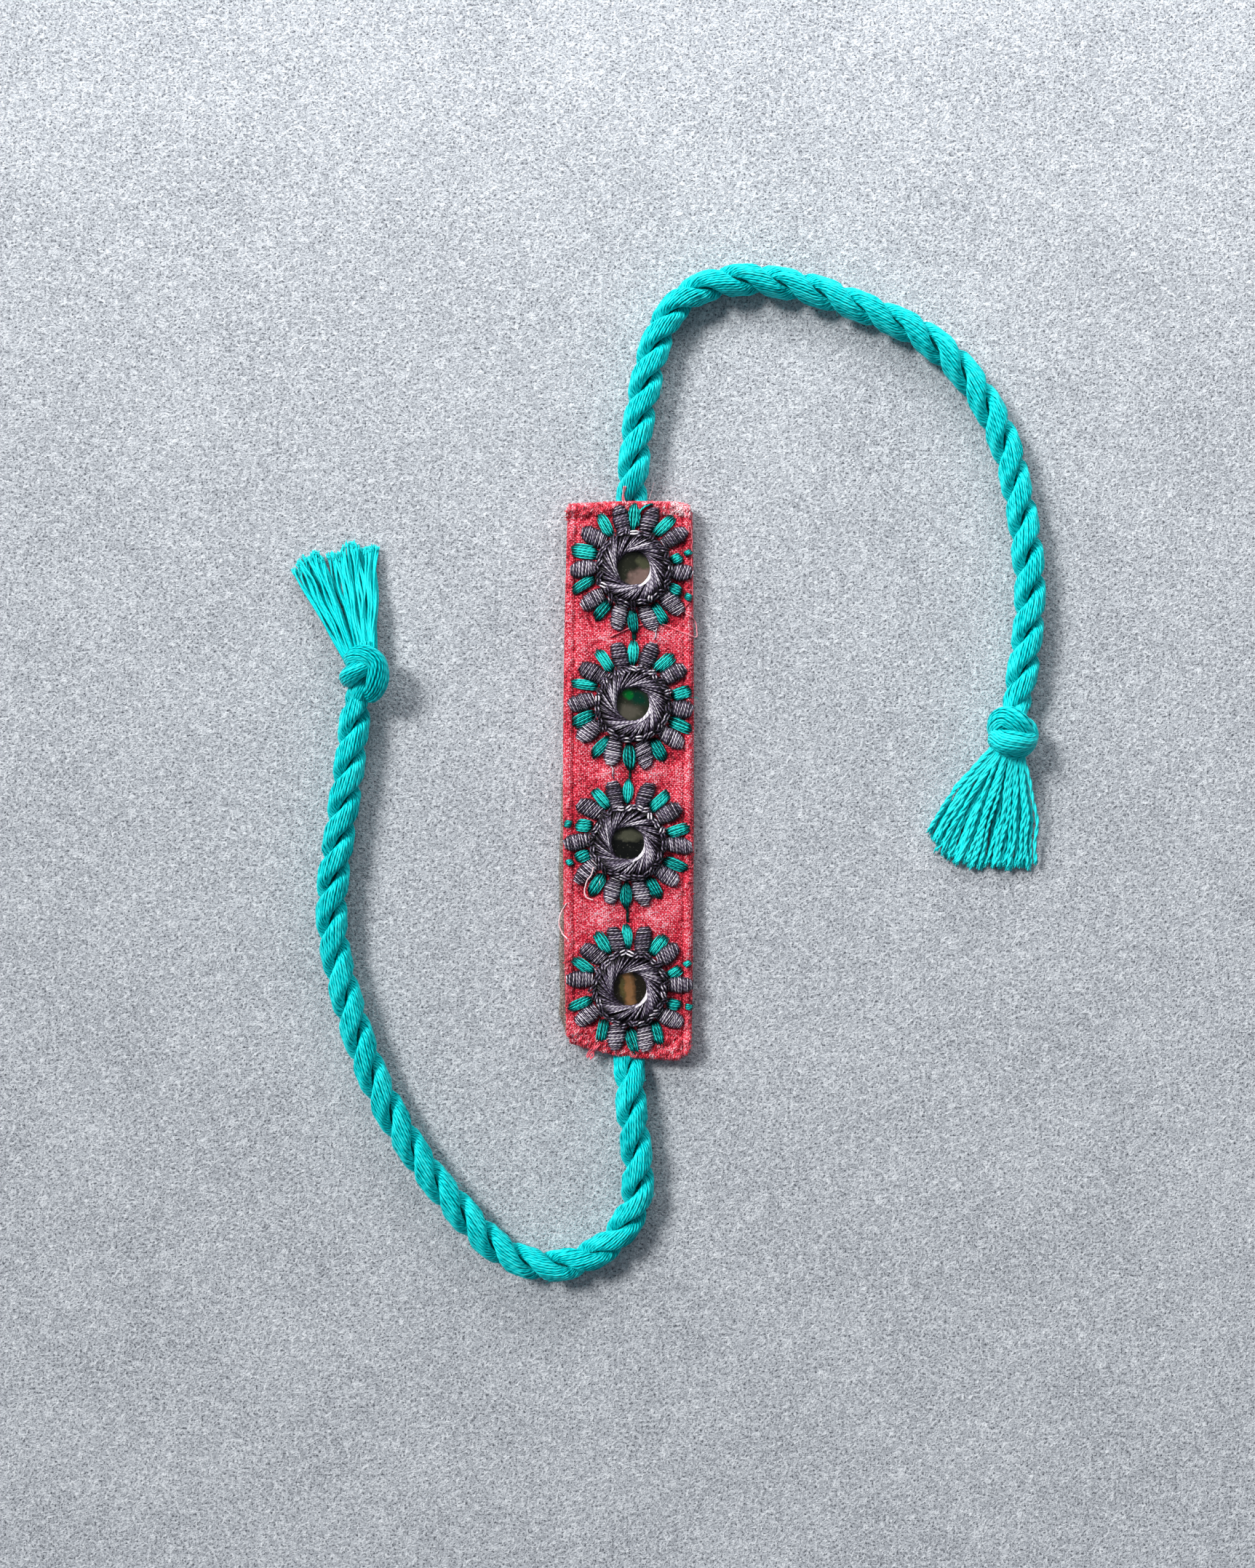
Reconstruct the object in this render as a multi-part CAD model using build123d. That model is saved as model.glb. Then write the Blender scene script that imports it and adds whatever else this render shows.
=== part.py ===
from build123d import *
from collections import namedtuple
from math import atan2, cos, degrees, pi, radians, sin, tan
import os

# A tie-on bracelet lying flat: an embroidered cloth band with a twisted cord at each end.
# Millimetres, +Z up. The origin is the middle of the underside, and +Y runs along the band.

# Cloth band, folded over a backing strip
band_length = 88.7
band_width = 20.75
band_thickness = 1.6
backing_thickness = 1.0
backing_show = 0.65  # how far the backing stands out past the band's left side
backing_inset = 0.7  # how far it stays inside the band's other sides
edge_round = 0.7
corner_round = 0.8

# Stitched lines and folds in the band
seam_inset = 1.65
top_hem = 2.4
bottom_hem = 3.9
groove_width = 0.45
groove_depth = 0.3
pucker_radius = 6.0
pucker_depth = 0.35

# Mirrors and the thread collars that hold them
mirror_diameter = 10.0
mirror_thickness = 0.9
collar_diameter = 12.4
collar_height = 1.8
hole_diameter = 4.9
lip_height = 0.35
crest_share = 2 / 3  # where the collar is highest, from its hole to the mirror's rim
slope_share = 0.75  # the height of the slope's middle, from the lip to the crest
shoulder_share = 0.78  # the height of the outer side at its shoulder, of the collar's height

# Padded stitches round each collar
stitch_count = 10
petal_length = 3.75
petal_width = 2.25
petal_height = 0.75
ray_length = 3.5
long_ray_length = 4.1  # the rays that point to the next motif
ray_width = 1.5
ray_height = 0.6
foot_share = 0.8  # a stitch's width at the collar, as a share of its full width
stitch_round = 0.7  # the round of a stitch's top, as a share of its height
stitch_inset = 0.5  # how far stitches stay inside the band's outline
dot_length = 1.0  # the outer part of a ray that the seam cuts in two
clear = 0.1  # the gap between neighbours

# Cords, knots and tassels
cord_diameter = 4.9
knot_reach = 4.2  # from a knot's middle to the cord's end and to the tassel's root
neck_share = 0.46  # a knot's necks, as a share of the cord's diameter
upper_tassel_length = 18.0
lower_tassel_length = 16.7
lock_root_width = 1.5
lock_tip_width = 2.0
head_root_width = 4.0
head_width = 5.4
head_length = 5.5
top_lock_share = 0.93  # the length of the locks that lie on the others, of theirs
top_lock_height = 1.45  # how high their tips' middles are, of a lock's width

# The motifs, from the upper end: the place of each centre along the band from its middle and across it,
# as shares of the band's length and width, and the side on which the seam cuts two rays in two
Motif = namedtuple("Motif", "along across cut_side")
MOTIFS = [
    Motif(0.3767, 0.0398, 1),
    Motif(0.1362, 0.0342, 0),
    Motif(-0.1108, -0.0046, -1),
    Motif(-0.3696, 0.0120, 1),
]

# The band's ends, from its left side to its right: the place across the band from its centre line, and how
# far short of the band's full length, both as shares of the band's width
EndPoint = namedtuple("EndPoint", "across short")
TOP_END = [
    EndPoint(-0.465, 0.078),
    EndPoint(-0.435, 0.020),
    EndPoint(0.0, 0.0),
    EndPoint(0.367, 0.006),
    EndPoint(0.462, 0.026),
    EndPoint(0.489, 0.082),
]
BOTTOM_END = [
    EndPoint(-0.476, 0.249),
    EndPoint(-0.440, 0.128),
    EndPoint(-0.049, 0.022),
    EndPoint(0.378, 0.0),
    EndPoint(0.450, 0.045),
    EndPoint(0.483, 0.128),
]

# The backing's left side, from the top down: the place along the band from its middle, as a share of its
# length, and how far out, from 0 for the inset to 1 for the full show
BackingPoint = namedtuple("BackingPoint", "along out")
BACKING_SIDE = [
    BackingPoint(0.47, 0.0),
    BackingPoint(0.05, 0.45),
    BackingPoint(-0.12, 1.0),
    BackingPoint(-0.42, 0.97),
    BackingPoint(-0.455, 0.1),
]

# Cord routes on the surface, from the band to the knot
UPPER_ROUTE = [
    (0.8, 44.45),
    (1.1, 51.5),
    (2.7, 61.5),
    (4.9, 71.0),
    (9.3, 77.2),
    (17.4, 79.6),
    (26.6, 78.6),
    (37.4, 75.0),
    (50.0, 69.2),
    (59.4, 56.5),
    (63.1, 40.5),
    (64.3, 25.5),
    (61.6, 11.7),
]
LOWER_ROUTE = [
    (0.4, -44.45),
    (0.6, -51.5),
    (1.9, -60.4),
    (1.7, -67.6),
    (-2.6, -73.7),
    (-9.4, -76.8),
    (-15.3, -76.6),
    (-21.0, -73.8),
    (-26.1, -68.2),
    (-32.3, -60.9),
    (-39.2, -49.5),
    (-43.9, -36.3),
    (-47.3, -22.0),
    (-45.0, -5.7),
    (-43.5, 4.2),
    (-42.7, 12.0),
]

# A knot's lobes, in its own directions: along the cord towards the tassel, across to the left of that and up
# from the surface. Lengths are shares of the cord's diameter. A ring of 0 is a ball. The axis of a ring turns
# to the left of the cord's direction and rises by these degrees.
Lobe = namedtuple("Lobe", "along across height ring tube turn rise")
UPPER_KNOT = [
    Lobe(0.0, 0.0, 0.55, 0.0, 0.60, 0, 0),
    Lobe(0.23, 0.05, 0.69, 0.44, 0.33, -13, 8),
    Lobe(-0.33, -0.42, 0.62, 0.0, 0.39, 0, 0),
    Lobe(-0.34, 0.44, 0.50, 0.0, 0.29, 0, 0),
]
LOWER_KNOT = [
    Lobe(0.0, 0.0, 0.52, 0.0, 0.58, 0, 0),
    Lobe(0.02, -0.08, 0.62, 0.44, 0.32, 28, 38),
    Lobe(-0.30, -0.36, 0.48, 0.0, 0.34, 0, 0),
    Lobe(0.08, 0.38, 0.50, 0.0, 0.31, 0, 0),
]

# How far each lock of a tassel's lower layer reaches, as a share of the tassel's length
UPPER_REACH = (0.91, 0.96, 1.0, 0.995, 0.99, 0.975, 0.965, 0.97, 0.975)
LOWER_REACH = (0.96, 0.97, 0.975, 0.985, 0.95, 0.995, 0.99, 1.0, 0.985)

# What each cord has at its far end: the knot's middle lies to the left of the cord's last run by these
# degrees, and the tassel's first and last locks point in these directions, in degrees
FreeEnd = namedtuple("FreeEnd", "name route lobes turn fan reach length")
FREE_ENDS = [
    FreeEnd("upper", UPPER_ROUTE, UPPER_KNOT, 0, (-133, -76), UPPER_REACH, upper_tassel_length),
    FreeEnd("lower", LOWER_ROUTE, LOWER_KNOT, -12, (82, 132), LOWER_REACH, lower_tassel_length),
]

cloth_top = backing_thickness + band_thickness
band_middle = backing_show / 2  # the band's centre line, so that the origin is midway between the sides
block_size = 12 * cord_diameter  # larger than any knot or tassel


def end_points(table, end):
    """Points of one of the band's ends. end is 1 for the upper end and -1 for the lower."""
    return [
        (band_middle + p.across * band_width, end * (band_length / 2 - p.short * band_width)) for p in table
    ]


def band_face():
    """The band's outline from above, with its corners rounded."""
    top = end_points(TOP_END, 1)
    bottom = end_points(BOTTOM_END, -1)
    edges = [
        Polyline(*top),
        ThreePointArc(top[-1], (band_middle + band_width / 2, 0), bottom[-1]),
        Polyline(*reversed(bottom)),
        ThreePointArc(bottom[0], (band_middle - band_width / 2, 0), top[0]),
    ]
    face = make_face(edges)
    return fillet(face.vertices(), corner_round)


def centres():
    """The middle of each motif, from the upper end."""
    return [(band_middle + m.across * band_width, m.along * band_length) for m in MOTIFS]


def make_band(face):
    """The folded cloth: rounded edges, a groove along each side and hem, and puckers between the motifs."""
    body = extrude(face, band_thickness)
    top = body.edges().filter_by_position(Axis.Z, band_thickness - 0.01, band_thickness + 0.01)
    body = fillet(top, edge_round)
    outer = offset(face, amount=-(seam_inset - groove_width / 2))
    inner = offset(face, amount=-(seam_inset + groove_width / 2))
    side_length = band_length - top_hem - bottom_hem
    sides = Pos(band_middle, (bottom_hem - top_hem) / 2) * Rectangle(2 * band_width, side_length)
    level = band_thickness - groove_depth
    for side in ((outer - inner) & sides).faces():
        body -= Pos(0, 0, level) * extrude(side, 2 * groove_depth)
    hem_width = band_width - 2 * seam_inset
    for y in (band_length / 2 - top_hem, bottom_hem - band_length / 2):
        body -= Pos(band_middle, y, level + groove_depth) * Box(hem_width, groove_width, 2 * groove_depth)
    middles = centres()
    for upper, lower in zip(middles, middles[1:]):
        y = (upper[1] + lower[1]) / 2
        roll = Cylinder(pucker_radius, hem_width - groove_width, rotation=(0, 90, 0))
        body -= Pos(band_middle, y, band_thickness + pucker_radius - pucker_depth) * roll
    return Pos(0, 0, backing_thickness) * body


def make_backing():
    """The flat strip under the band, which shows past the band's left side."""
    right = band_middle + band_width / 2 - backing_inset
    hidden = band_middle - band_width / 2 + backing_inset
    shown = band_middle - band_width / 2 - backing_show
    side = [(hidden + p.out * (shown - hidden), p.along * band_length) for p in BACKING_SIDE]
    top_y = band_length / 2 - backing_inset
    bottom_y = -band_length / 2 + BOTTOM_END[1].short * band_width + backing_inset
    outline = [(right, top_y), (hidden, top_y)] + side + [(hidden, bottom_y), (right, bottom_y)]
    return extrude(make_face(Polyline(*outline, close=True)), backing_thickness)


def make_mirror(x, y):
    return Pos(x, y, cloth_top + mirror_thickness / 2) * Cylinder(mirror_diameter / 2, mirror_thickness)


def make_collar(x, y):
    """The wound collar: it stands on the cloth round the mirror and reaches over its rim."""
    hole, rim, outside = hole_diameter / 2, mirror_diameter / 2 + clear, collar_diameter / 2
    seat = mirror_thickness + clear
    crest = hole + crest_share * (rim - hole)
    inner_foot, lip = (hole, seat), (hole, seat + lip_height)
    rise = collar_height - seat - lip_height
    slope = ((hole + crest) / 2, seat + lip_height + slope_share * rise)
    shoulder = (crest + crest_share * (outside - crest), shoulder_share * collar_height)
    section = [
        Line(inner_foot, lip),
        ThreePointArc(lip, slope, (crest, collar_height)),
        ThreePointArc((crest, collar_height), shoulder, (outside, 0)),
        Polyline((outside, 0), (rim, 0), (rim, seat), inner_foot),
    ]
    collar = revolve(Plane.XZ * make_face(section), Axis.Z)
    return Pos(x, y, cloth_top) * collar


def stitch_start():
    """How far from a motif's middle its stitches start: clear of the collar and of each other."""
    step = pi / stitch_count
    room = (foot_share * (petal_width + ray_width) / 2 + clear) / sin(step)
    return max(collar_diameter / 2 + clear, room - foot_share * ray_width / 2)


def tongue(start, length, width, height):
    """A padded stitch along +X: narrower at the start, with round ends and a rounded top."""
    foot, tip = foot_share * width / 2, width / 2
    near = Pos(start + foot, 0) * Circle(foot)
    far = Pos(start + length - tip, 0) * Circle(tip)
    body = extrude(make_hull(near.edges() + far.edges()), height)
    top = body.edges().filter_by_position(Axis.Z, height - 0.01, height + 0.01)
    return fillet(top, stitch_round * min(height, foot))


def motif_field(face, index):
    """Where a motif's stitches may lie on the band: up to the sides, and halfway to its neighbours."""
    middles = [y for _, y in centres()]
    high = (middles[index - 1] + middles[index]) / 2 - clear if index else band_length
    low = (middles[index + 1] + middles[index]) / 2 + clear if index + 1 < len(middles) else -band_length
    inside = offset(face, amount=-stitch_inset)
    strip = Pos(band_middle, (high + low) / 2) * Rectangle(2 * band_width, high - low)
    return Pos(0, 0, cloth_top) * extrude(inside & strip, collar_height)


def place(body, middle, angle, field):
    """The solids of a stitch that points at an angle from a motif's middle, less what its field cuts off."""
    placed = Pos(middle[0], middle[1], cloth_top) * Rot(0, 0, angle) * body
    return (placed & field).solids()


def make_petals(middle, field):
    start = stitch_start()
    petals = []
    for k in range(stitch_count):
        petal = tongue(start, petal_length, petal_width, petal_height)
        petals += place(petal, middle, k * 360 / stitch_count, field)
    return petals


def make_rays(middle, field, cut_side):
    """Rays between the petals. Those along the band are longer, and the seam cuts two on one side in two."""
    start = stitch_start()
    step = 360 / stitch_count
    rays = []
    for k in range(stitch_count):
        angle = (k + 0.5) * step
        upright = abs(sin(radians(angle)))
        sideways = cos(radians(angle)) * cut_side
        length = long_ray_length if upright > cos(radians(step / 4)) else ray_length
        if sideways > cos(radians(0.75 * step)):
            inner = tongue(start, length - dot_length - 3 * clear, ray_width, ray_height)
            dot_start = start + length - dot_length
            outer = tongue(dot_start, max(dot_length, 1.01 * ray_width), ray_width, ray_height)
            rays += place(inner, middle, angle, field)
            rays += place(outer, middle, angle, field)
        else:
            rays += place(tongue(start, length, ray_width, ray_height), middle, angle, field)
    return rays


def route_radii(points):
    """The arc at each corner: 0.45 of the shorter run, over the tangent of half the turn."""
    radii = []
    for before, here, after in zip(points, points[1:], points[2:]):
        one = Vector(*here) - Vector(*before)
        two = Vector(*after) - Vector(*here)
        turn = radians(one.get_angle(two))
        radii.append(0.45 * min(one.length, two.length) / tan(turn / 2))
    return radii


def make_cord(name, points):
    """A plain tube along the route, resting on the surface."""
    route = [(x, y, cord_diameter / 2) for x, y in points]
    radii = route_radii(route)
    path = FilletPolyline(*route, radius=radii)
    profile = Plane(origin=path @ 0, z_dir=path % 0) * Circle(cord_diameter / 2)
    cord = sweep(profile, path=path)
    expected = pi * cord_diameter**2 / 4 * path.length
    print(name, "length", round(path.length, 1), "volume share", round(cord.volume / expected, 4))
    print(name, "radii", [round(r, 1) for r in radii])
    return cord


def heading(points):
    """The direction of a route's last run, in degrees."""
    (x0, y0), (x1, y1) = points[-2:]
    return degrees(atan2(y1 - y0, x1 - x0))


def knot_middle(points, turn):
    """A knot's middle, on the surface, beyond the route's end and turned to its left by some degrees."""
    angle = radians(heading(points) + turn)
    x, y = points[-1]
    return x + knot_reach * cos(angle), y + knot_reach * sin(angle)


def cut_flat(body, spot, facing):
    """The body without what lies behind the flat face at a spot that faces this way."""
    x, y, z = facing
    block = Plane(origin=spot, z_dir=(-x, -y, -z)) * extrude(Rectangle(block_size, block_size), block_size)
    return body - block


def rod(start, end, start_width, end_width):
    """A round bar or cone from one point to another."""
    axis = Vector(*end) - Vector(*start)
    plane = Plane(origin=start, z_dir=axis)
    if abs(start_width - end_width) < 1e-6:
        return plane * extrude(Circle(start_width / 2), axis.length)
    cone = Cone(start_width / 2, end_width / 2, axis.length, align=(Align.CENTER, Align.CENTER, Align.MIN))
    return plane * cone


def make_knot(points, middle, lobes, root, root_heading):
    """Fused lobes of the pulled-tight knot, with a neck to the cord's end and one to the tassel's root.

    It is cut flat at the surface and just short of both ends."""
    d = cord_diameter
    angle = degrees(atan2(root[1] - points[-1][1], root[0] - points[-1][0]))
    frame = Pos(middle[0], middle[1], 0) * Rot(0, 0, angle)
    body = None
    for lobe in lobes:
        spot = (lobe.along * d, lobe.across * d, lobe.height * d)
        if lobe.ring:
            turn, rise = radians(lobe.turn), radians(lobe.rise)
            axis = (cos(rise) * cos(turn), cos(rise) * sin(turn), sin(rise))
            part = Plane(origin=spot, z_dir=axis) * Torus(lobe.ring * d, lobe.tube * d)
        else:
            part = Pos(*spot) * Rot(0, 90, 0) * Sphere(lobe.tube * d)  # its poles lie along the cord
        body = frame * part if body is None else body + frame * part
    width = 2 * neck_share * d
    height = d / 2
    start = (middle[0], middle[1], height)
    for x, y in (points[-1], root):
        body += rod(start, (x, y, height), width, width)
    body = cut_flat(body, (middle[0], middle[1], 0), (0, 0, 1))
    cord_angle, root_angle = radians(heading(points)), radians(root_heading)
    ends = [(points[-1], (cos(cord_angle), sin(cord_angle))), (root, (-cos(root_angle), -sin(root_angle)))]
    for (x, y), (along, across) in ends:
        body = cut_flat(body, (x + clear * along, y + clear * across, height), (along, across, 0))
    return body.solid()


def make_tassel(root, fan, reach, length):
    """Locks that fan out from a head, in two layers that lie on the surface."""
    first, last = fan
    count = len(reach)
    step = (last - first) / (count - 1)
    middle = radians((first + last) / 2)
    start = (root[0], root[1], cord_diameter / 2)
    neck = (
        root[0] + head_length * cos(middle),
        root[1] + head_length * sin(middle),
        lock_tip_width,
    )
    body = rod(start, neck, head_root_width, head_width)
    top_height = top_lock_height * lock_tip_width
    layers = [(0, count, lock_tip_width / 2, 1.0), (1, count - 2, top_height, top_lock_share)]
    for layer, locks, tip_height, share in layers:
        for k in range(locks):
            angle = radians(first + (k + 1.5 * layer) * step)
            out = length * reach[k + layer] * share
            tip = (root[0] + out * cos(angle), root[1] + out * sin(angle), tip_height)
            body += rod(start, tip, lock_root_width, lock_tip_width)
    body = cut_flat(body, start, (cos(middle), sin(middle), 0))
    return cut_flat(body, (root[0], root[1], 0), (0, 0, 1)).solid()


outline = band_face()
parts = {"backing": make_backing(), "band": make_band(outline)}
for number, (motif, spot) in enumerate(zip(MOTIFS, centres()), 1):
    field = motif_field(outline, number - 1)
    parts[f"mirror_{number}"] = make_mirror(*spot)
    parts[f"ring_{number}"] = make_collar(*spot)
    parts[f"petals_{number}"] = Compound(children=make_petals(spot, field))
    parts[f"rays_{number}"] = Compound(children=make_rays(spot, field, motif.cut_side))

for end in FREE_ENDS:
    middle = knot_middle(end.route, end.turn)
    fan_middle = sum(end.fan) / 2
    root = (
        middle[0] + knot_reach * cos(radians(fan_middle)),
        middle[1] + knot_reach * sin(radians(fan_middle)),
    )
    parts[f"cord_{end.name}"] = make_cord(end.name, end.route)
    parts[f"knot_{end.name}"] = make_knot(end.route, middle, end.lobes, root, fan_middle)
    parts[f"tassel_{end.name}"] = make_tassel(root, end.fan, end.reach, end.length)

os.makedirs("parts", exist_ok=True)
for node, shape in parts.items():
    export_step(shape, f"parts/{node}.step")
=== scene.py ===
import math
from collections import namedtuple

import bpy
import numpy as np
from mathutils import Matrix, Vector


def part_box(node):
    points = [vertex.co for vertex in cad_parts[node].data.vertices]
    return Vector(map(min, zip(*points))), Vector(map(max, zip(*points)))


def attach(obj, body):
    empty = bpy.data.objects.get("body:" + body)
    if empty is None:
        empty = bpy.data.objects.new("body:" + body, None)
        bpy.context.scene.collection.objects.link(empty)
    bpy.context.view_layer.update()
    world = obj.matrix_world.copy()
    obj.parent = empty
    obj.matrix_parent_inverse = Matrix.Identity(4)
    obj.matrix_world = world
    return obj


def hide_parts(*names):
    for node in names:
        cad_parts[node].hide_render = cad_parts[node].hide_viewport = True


# A tie-on bracelet on a pale surface: an embroidered cloth band with a twisted cord at each end.
# Blender's lengths are metres. Tables and shapes here are in millimetres, and MM turns them into metres.

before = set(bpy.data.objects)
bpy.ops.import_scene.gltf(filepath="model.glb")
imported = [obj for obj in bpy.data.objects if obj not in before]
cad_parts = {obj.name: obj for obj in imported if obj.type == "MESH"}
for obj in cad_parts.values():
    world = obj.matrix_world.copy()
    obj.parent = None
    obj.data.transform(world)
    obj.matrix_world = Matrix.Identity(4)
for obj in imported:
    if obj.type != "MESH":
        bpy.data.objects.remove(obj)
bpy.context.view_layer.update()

MM = 0.001
TAU = 2 * math.pi


def box_mm(node):
    """A node's lowest and highest corners in millimetres."""
    low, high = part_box(node)
    return np.array(low) / MM, np.array(high) / MM


def middle_mm(node):
    """The middle of a node's box in millimetres."""
    low, high = box_mm(node)
    return (low + high) / 2


# Camera: straight above, with the photograph's frame
CAMERA_AT = (0.17, -0.52)
CAMERA_DISTANCE = 350.0
CAMERA_LEVEL = 2.5
FRAME_HEIGHT = 247.9
SENSOR = 36.0


def make_camera():
    data = bpy.data.cameras.new("camera")
    data.sensor_width = SENSOR
    data.lens = SENSOR * CAMERA_DISTANCE / FRAME_HEIGHT
    data.clip_start = 0.01
    data.clip_end = 10
    camera = bpy.data.objects.new("camera", data)
    camera.location = (CAMERA_AT[0] * MM, CAMERA_AT[1] * MM, (CAMERA_DISTANCE + CAMERA_LEVEL) * MM)
    bpy.context.scene.collection.objects.link(camera)
    bpy.context.scene.camera = camera


make_camera()


# Curves and tubes


def smooth(points, count):
    """A curve through the given points, read at count places with equal steps."""
    p = np.asarray(points, float)
    p = np.vstack([2 * p[0] - p[1], p, 2 * p[-1] - p[-2]])
    t = np.linspace(0, 1, 12, endpoint=False)[:, None]
    runs = []
    for a, b, c, d in zip(p, p[1:], p[2:], p[3:]):
        square = 2 * a - 5 * b + 4 * c - d
        cube = -a + 3 * b - 3 * c + d
        runs.append((2 * b + (c - a) * t + square * t**2 + cube * t**3) / 2)
    line = np.vstack([*runs, p[-2][None]])
    return even(line, count)


def lengths(line):
    """How far along a line each of its points is."""
    steps = np.linalg.norm(np.diff(line, axis=0), axis=1)
    return np.concatenate([[0], np.cumsum(steps)])


def even(line, count):
    """The line read at count places with equal steps."""
    along = lengths(line)
    places = np.linspace(0, along[-1], count)
    return np.stack([np.interp(places, along, line[:, k]) for k in range(3)], axis=1)


def unit(v):
    return v / np.maximum(np.linalg.norm(v, axis=-1, keepdims=True), 1e-9)


def around(first, second, angle):
    """The direction at each angle from the first of two directions towards the second."""
    return first * np.cos(angle)[..., None] + second * np.sin(angle)[..., None]


def frames(paths):
    """Two directions across each path, which don't turn round it."""
    along = unit(np.gradient(paths, axis=-2))
    first = along[..., 0, :]
    up = np.where(np.abs(first[..., 2:]) > 0.9, (1.0, 0.0, 0.0), (0.0, 0.0, 1.0))
    side = unit(np.cross(up, first))
    sides = [side]
    for i in range(1, paths.shape[-2]):
        ahead = along[..., i, :]
        side = unit(side - (side * ahead).sum(-1, keepdims=True) * ahead)
        sides.append(side)
    side = np.stack(sides, axis=-2)
    return side, np.cross(along, side)


class Mesh:
    """Gathers surfaces into one mesh. Each face has its corners' UVs in millimetres. Each point has a tint: a
    value of its thread's own, how far along the thread it is, and how much it faces out."""

    def __init__(self):
        self.points, self.tints, self.groups = [], [], []
        self.count = 0

    def add(self, points, faces, uvs, tints, material=0):
        """faces is (n, corners), uvs (n, corners, 2) and tints (points, 3)."""
        self.points.append(points.reshape(-1, 3))
        self.tints.append(np.broadcast_to(tints, (self.points[-1].shape[0], 3)))
        self.groups.append((faces + self.count, uvs, material))
        self.count += len(self.points[-1])

    def tubes(self, paths, radii, sides=6, tints=0.5, material=0, flat=1.0, crest=(0.0, 0.0, 1.0)):
        """Round tubes along stacked paths, (tubes, points, 3). tints is a number for each tube, flat is their
        height as a share of their width, and crest points to their outer side."""
        paths = np.asarray(paths, float)
        number, rings, _ = paths.shape
        radii = np.broadcast_to(np.asarray(radii, float), (number, rings))
        across, other = frames(paths)
        angle = TAU * np.arange(sides) / sides
        spoke = around(across[:, :, None], other[:, :, None], angle)
        points = paths[:, :, None] + radii[:, :, None, None] * spoke * (1, 1, flat)
        along = np.cumsum(np.linalg.norm(np.diff(paths, axis=1, prepend=paths[:, :1]), axis=2), axis=1)
        own = np.broadcast_to(np.asarray(tints, float), (number,))[:, None, None]
        share = (along / along[:, -1:])[..., None]
        outer = np.broadcast_to(np.asarray(crest, float), paths.shape)
        facing = 0.5 + (spoke * outer[:, :, None]).sum(-1) / 2
        point_tints = np.stack(np.broadcast_arrays(own, share, facing), axis=-1).reshape(-1, 3)
        tube, ring, side = np.meshgrid(range(number), range(rings - 1), range(sides), indexing="ij")
        following = (side + 1) % sides
        near = (tube * rings + ring) * sides
        far = near + sides
        quads = np.stack([near + side, near + following, far + following, far + side], -1)
        u0, u1 = along[tube, ring], along[tube, ring + 1]
        v0, v1 = side / sides, (side + 1) / sides
        uvs = np.stack([np.stack([u0, u0, u1, u1], -1), np.stack([v0, v1, v1, v0], -1)], -1)
        self.add(points, quads.reshape(-1, 4), uvs.reshape(-1, 4, 2), point_tints, material)
        first = np.arange(number)[:, None] * rings * sides
        caps = [first + np.arange(sides)[::-1], first + (rings - 1) * sides + np.arange(sides)]
        base = self.count - number * rings * sides
        for cap in caps:
            self.groups.append((cap + base, np.zeros((number, sides, 2)), material))

    def build(self, name, materials, slot, nodes=()):
        """Makes the object, which rides on the one body and stands for the given nodes."""
        data = bpy.data.meshes.new(name)
        points = np.concatenate(self.points) * MM
        data.vertices.add(len(points))
        data.vertices.foreach_set("co", points.ravel())
        corners = np.concatenate([faces.ravel() for faces, _, _ in self.groups])
        sizes = np.concatenate([np.full(len(faces), faces.shape[1]) for faces, _, _ in self.groups])
        numbers = np.concatenate([np.full(len(faces), material) for faces, _, material in self.groups])
        data.loops.add(len(corners))
        data.loops.foreach_set("vertex_index", corners.astype(np.int32))
        data.polygons.add(len(sizes))
        data.polygons.foreach_set("loop_start", (np.cumsum(sizes) - sizes).astype(np.int32))
        data.polygons.foreach_set("material_index", numbers.astype(np.int32))
        data.polygons.foreach_set("use_smooth", np.ones(len(sizes), bool))
        uv = data.uv_layers.new(name="UVMap")
        uv.data.foreach_set("uv", np.concatenate([u.reshape(-1, 2) for _, u, _ in self.groups]).ravel())
        tint = data.attributes.new("tint", "FLOAT_COLOR", "POINT")
        values = np.ones((len(points), 4))
        values[:, :3] = np.concatenate(self.tints)
        tint.data.foreach_set("color", values.ravel())
        data.update(calc_edges=True)
        data.validate()
        for material in materials:
            data.materials.append(material)
        piece = bpy.data.objects.new(name, data)
        bpy.context.scene.collection.objects.link(piece)
        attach(piece, "root")
        if nodes:
            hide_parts(*nodes)
        return piece


# Materials


class Value:
    """A number or colour in a material's nodes. Arithmetic with it makes the nodes that work it out."""

    def __init__(self, shader, socket):
        self.shader = shader
        self.socket = socket

    def __add__(self, other):
        return self.shader.math("ADD", self, other)

    def __sub__(self, other):
        return self.shader.math("SUBTRACT", self, other)

    def __mul__(self, other):
        return self.shader.math("MULTIPLY", self, other)

    def __truediv__(self, other):
        return self.shader.math("DIVIDE", self, other)


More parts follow.
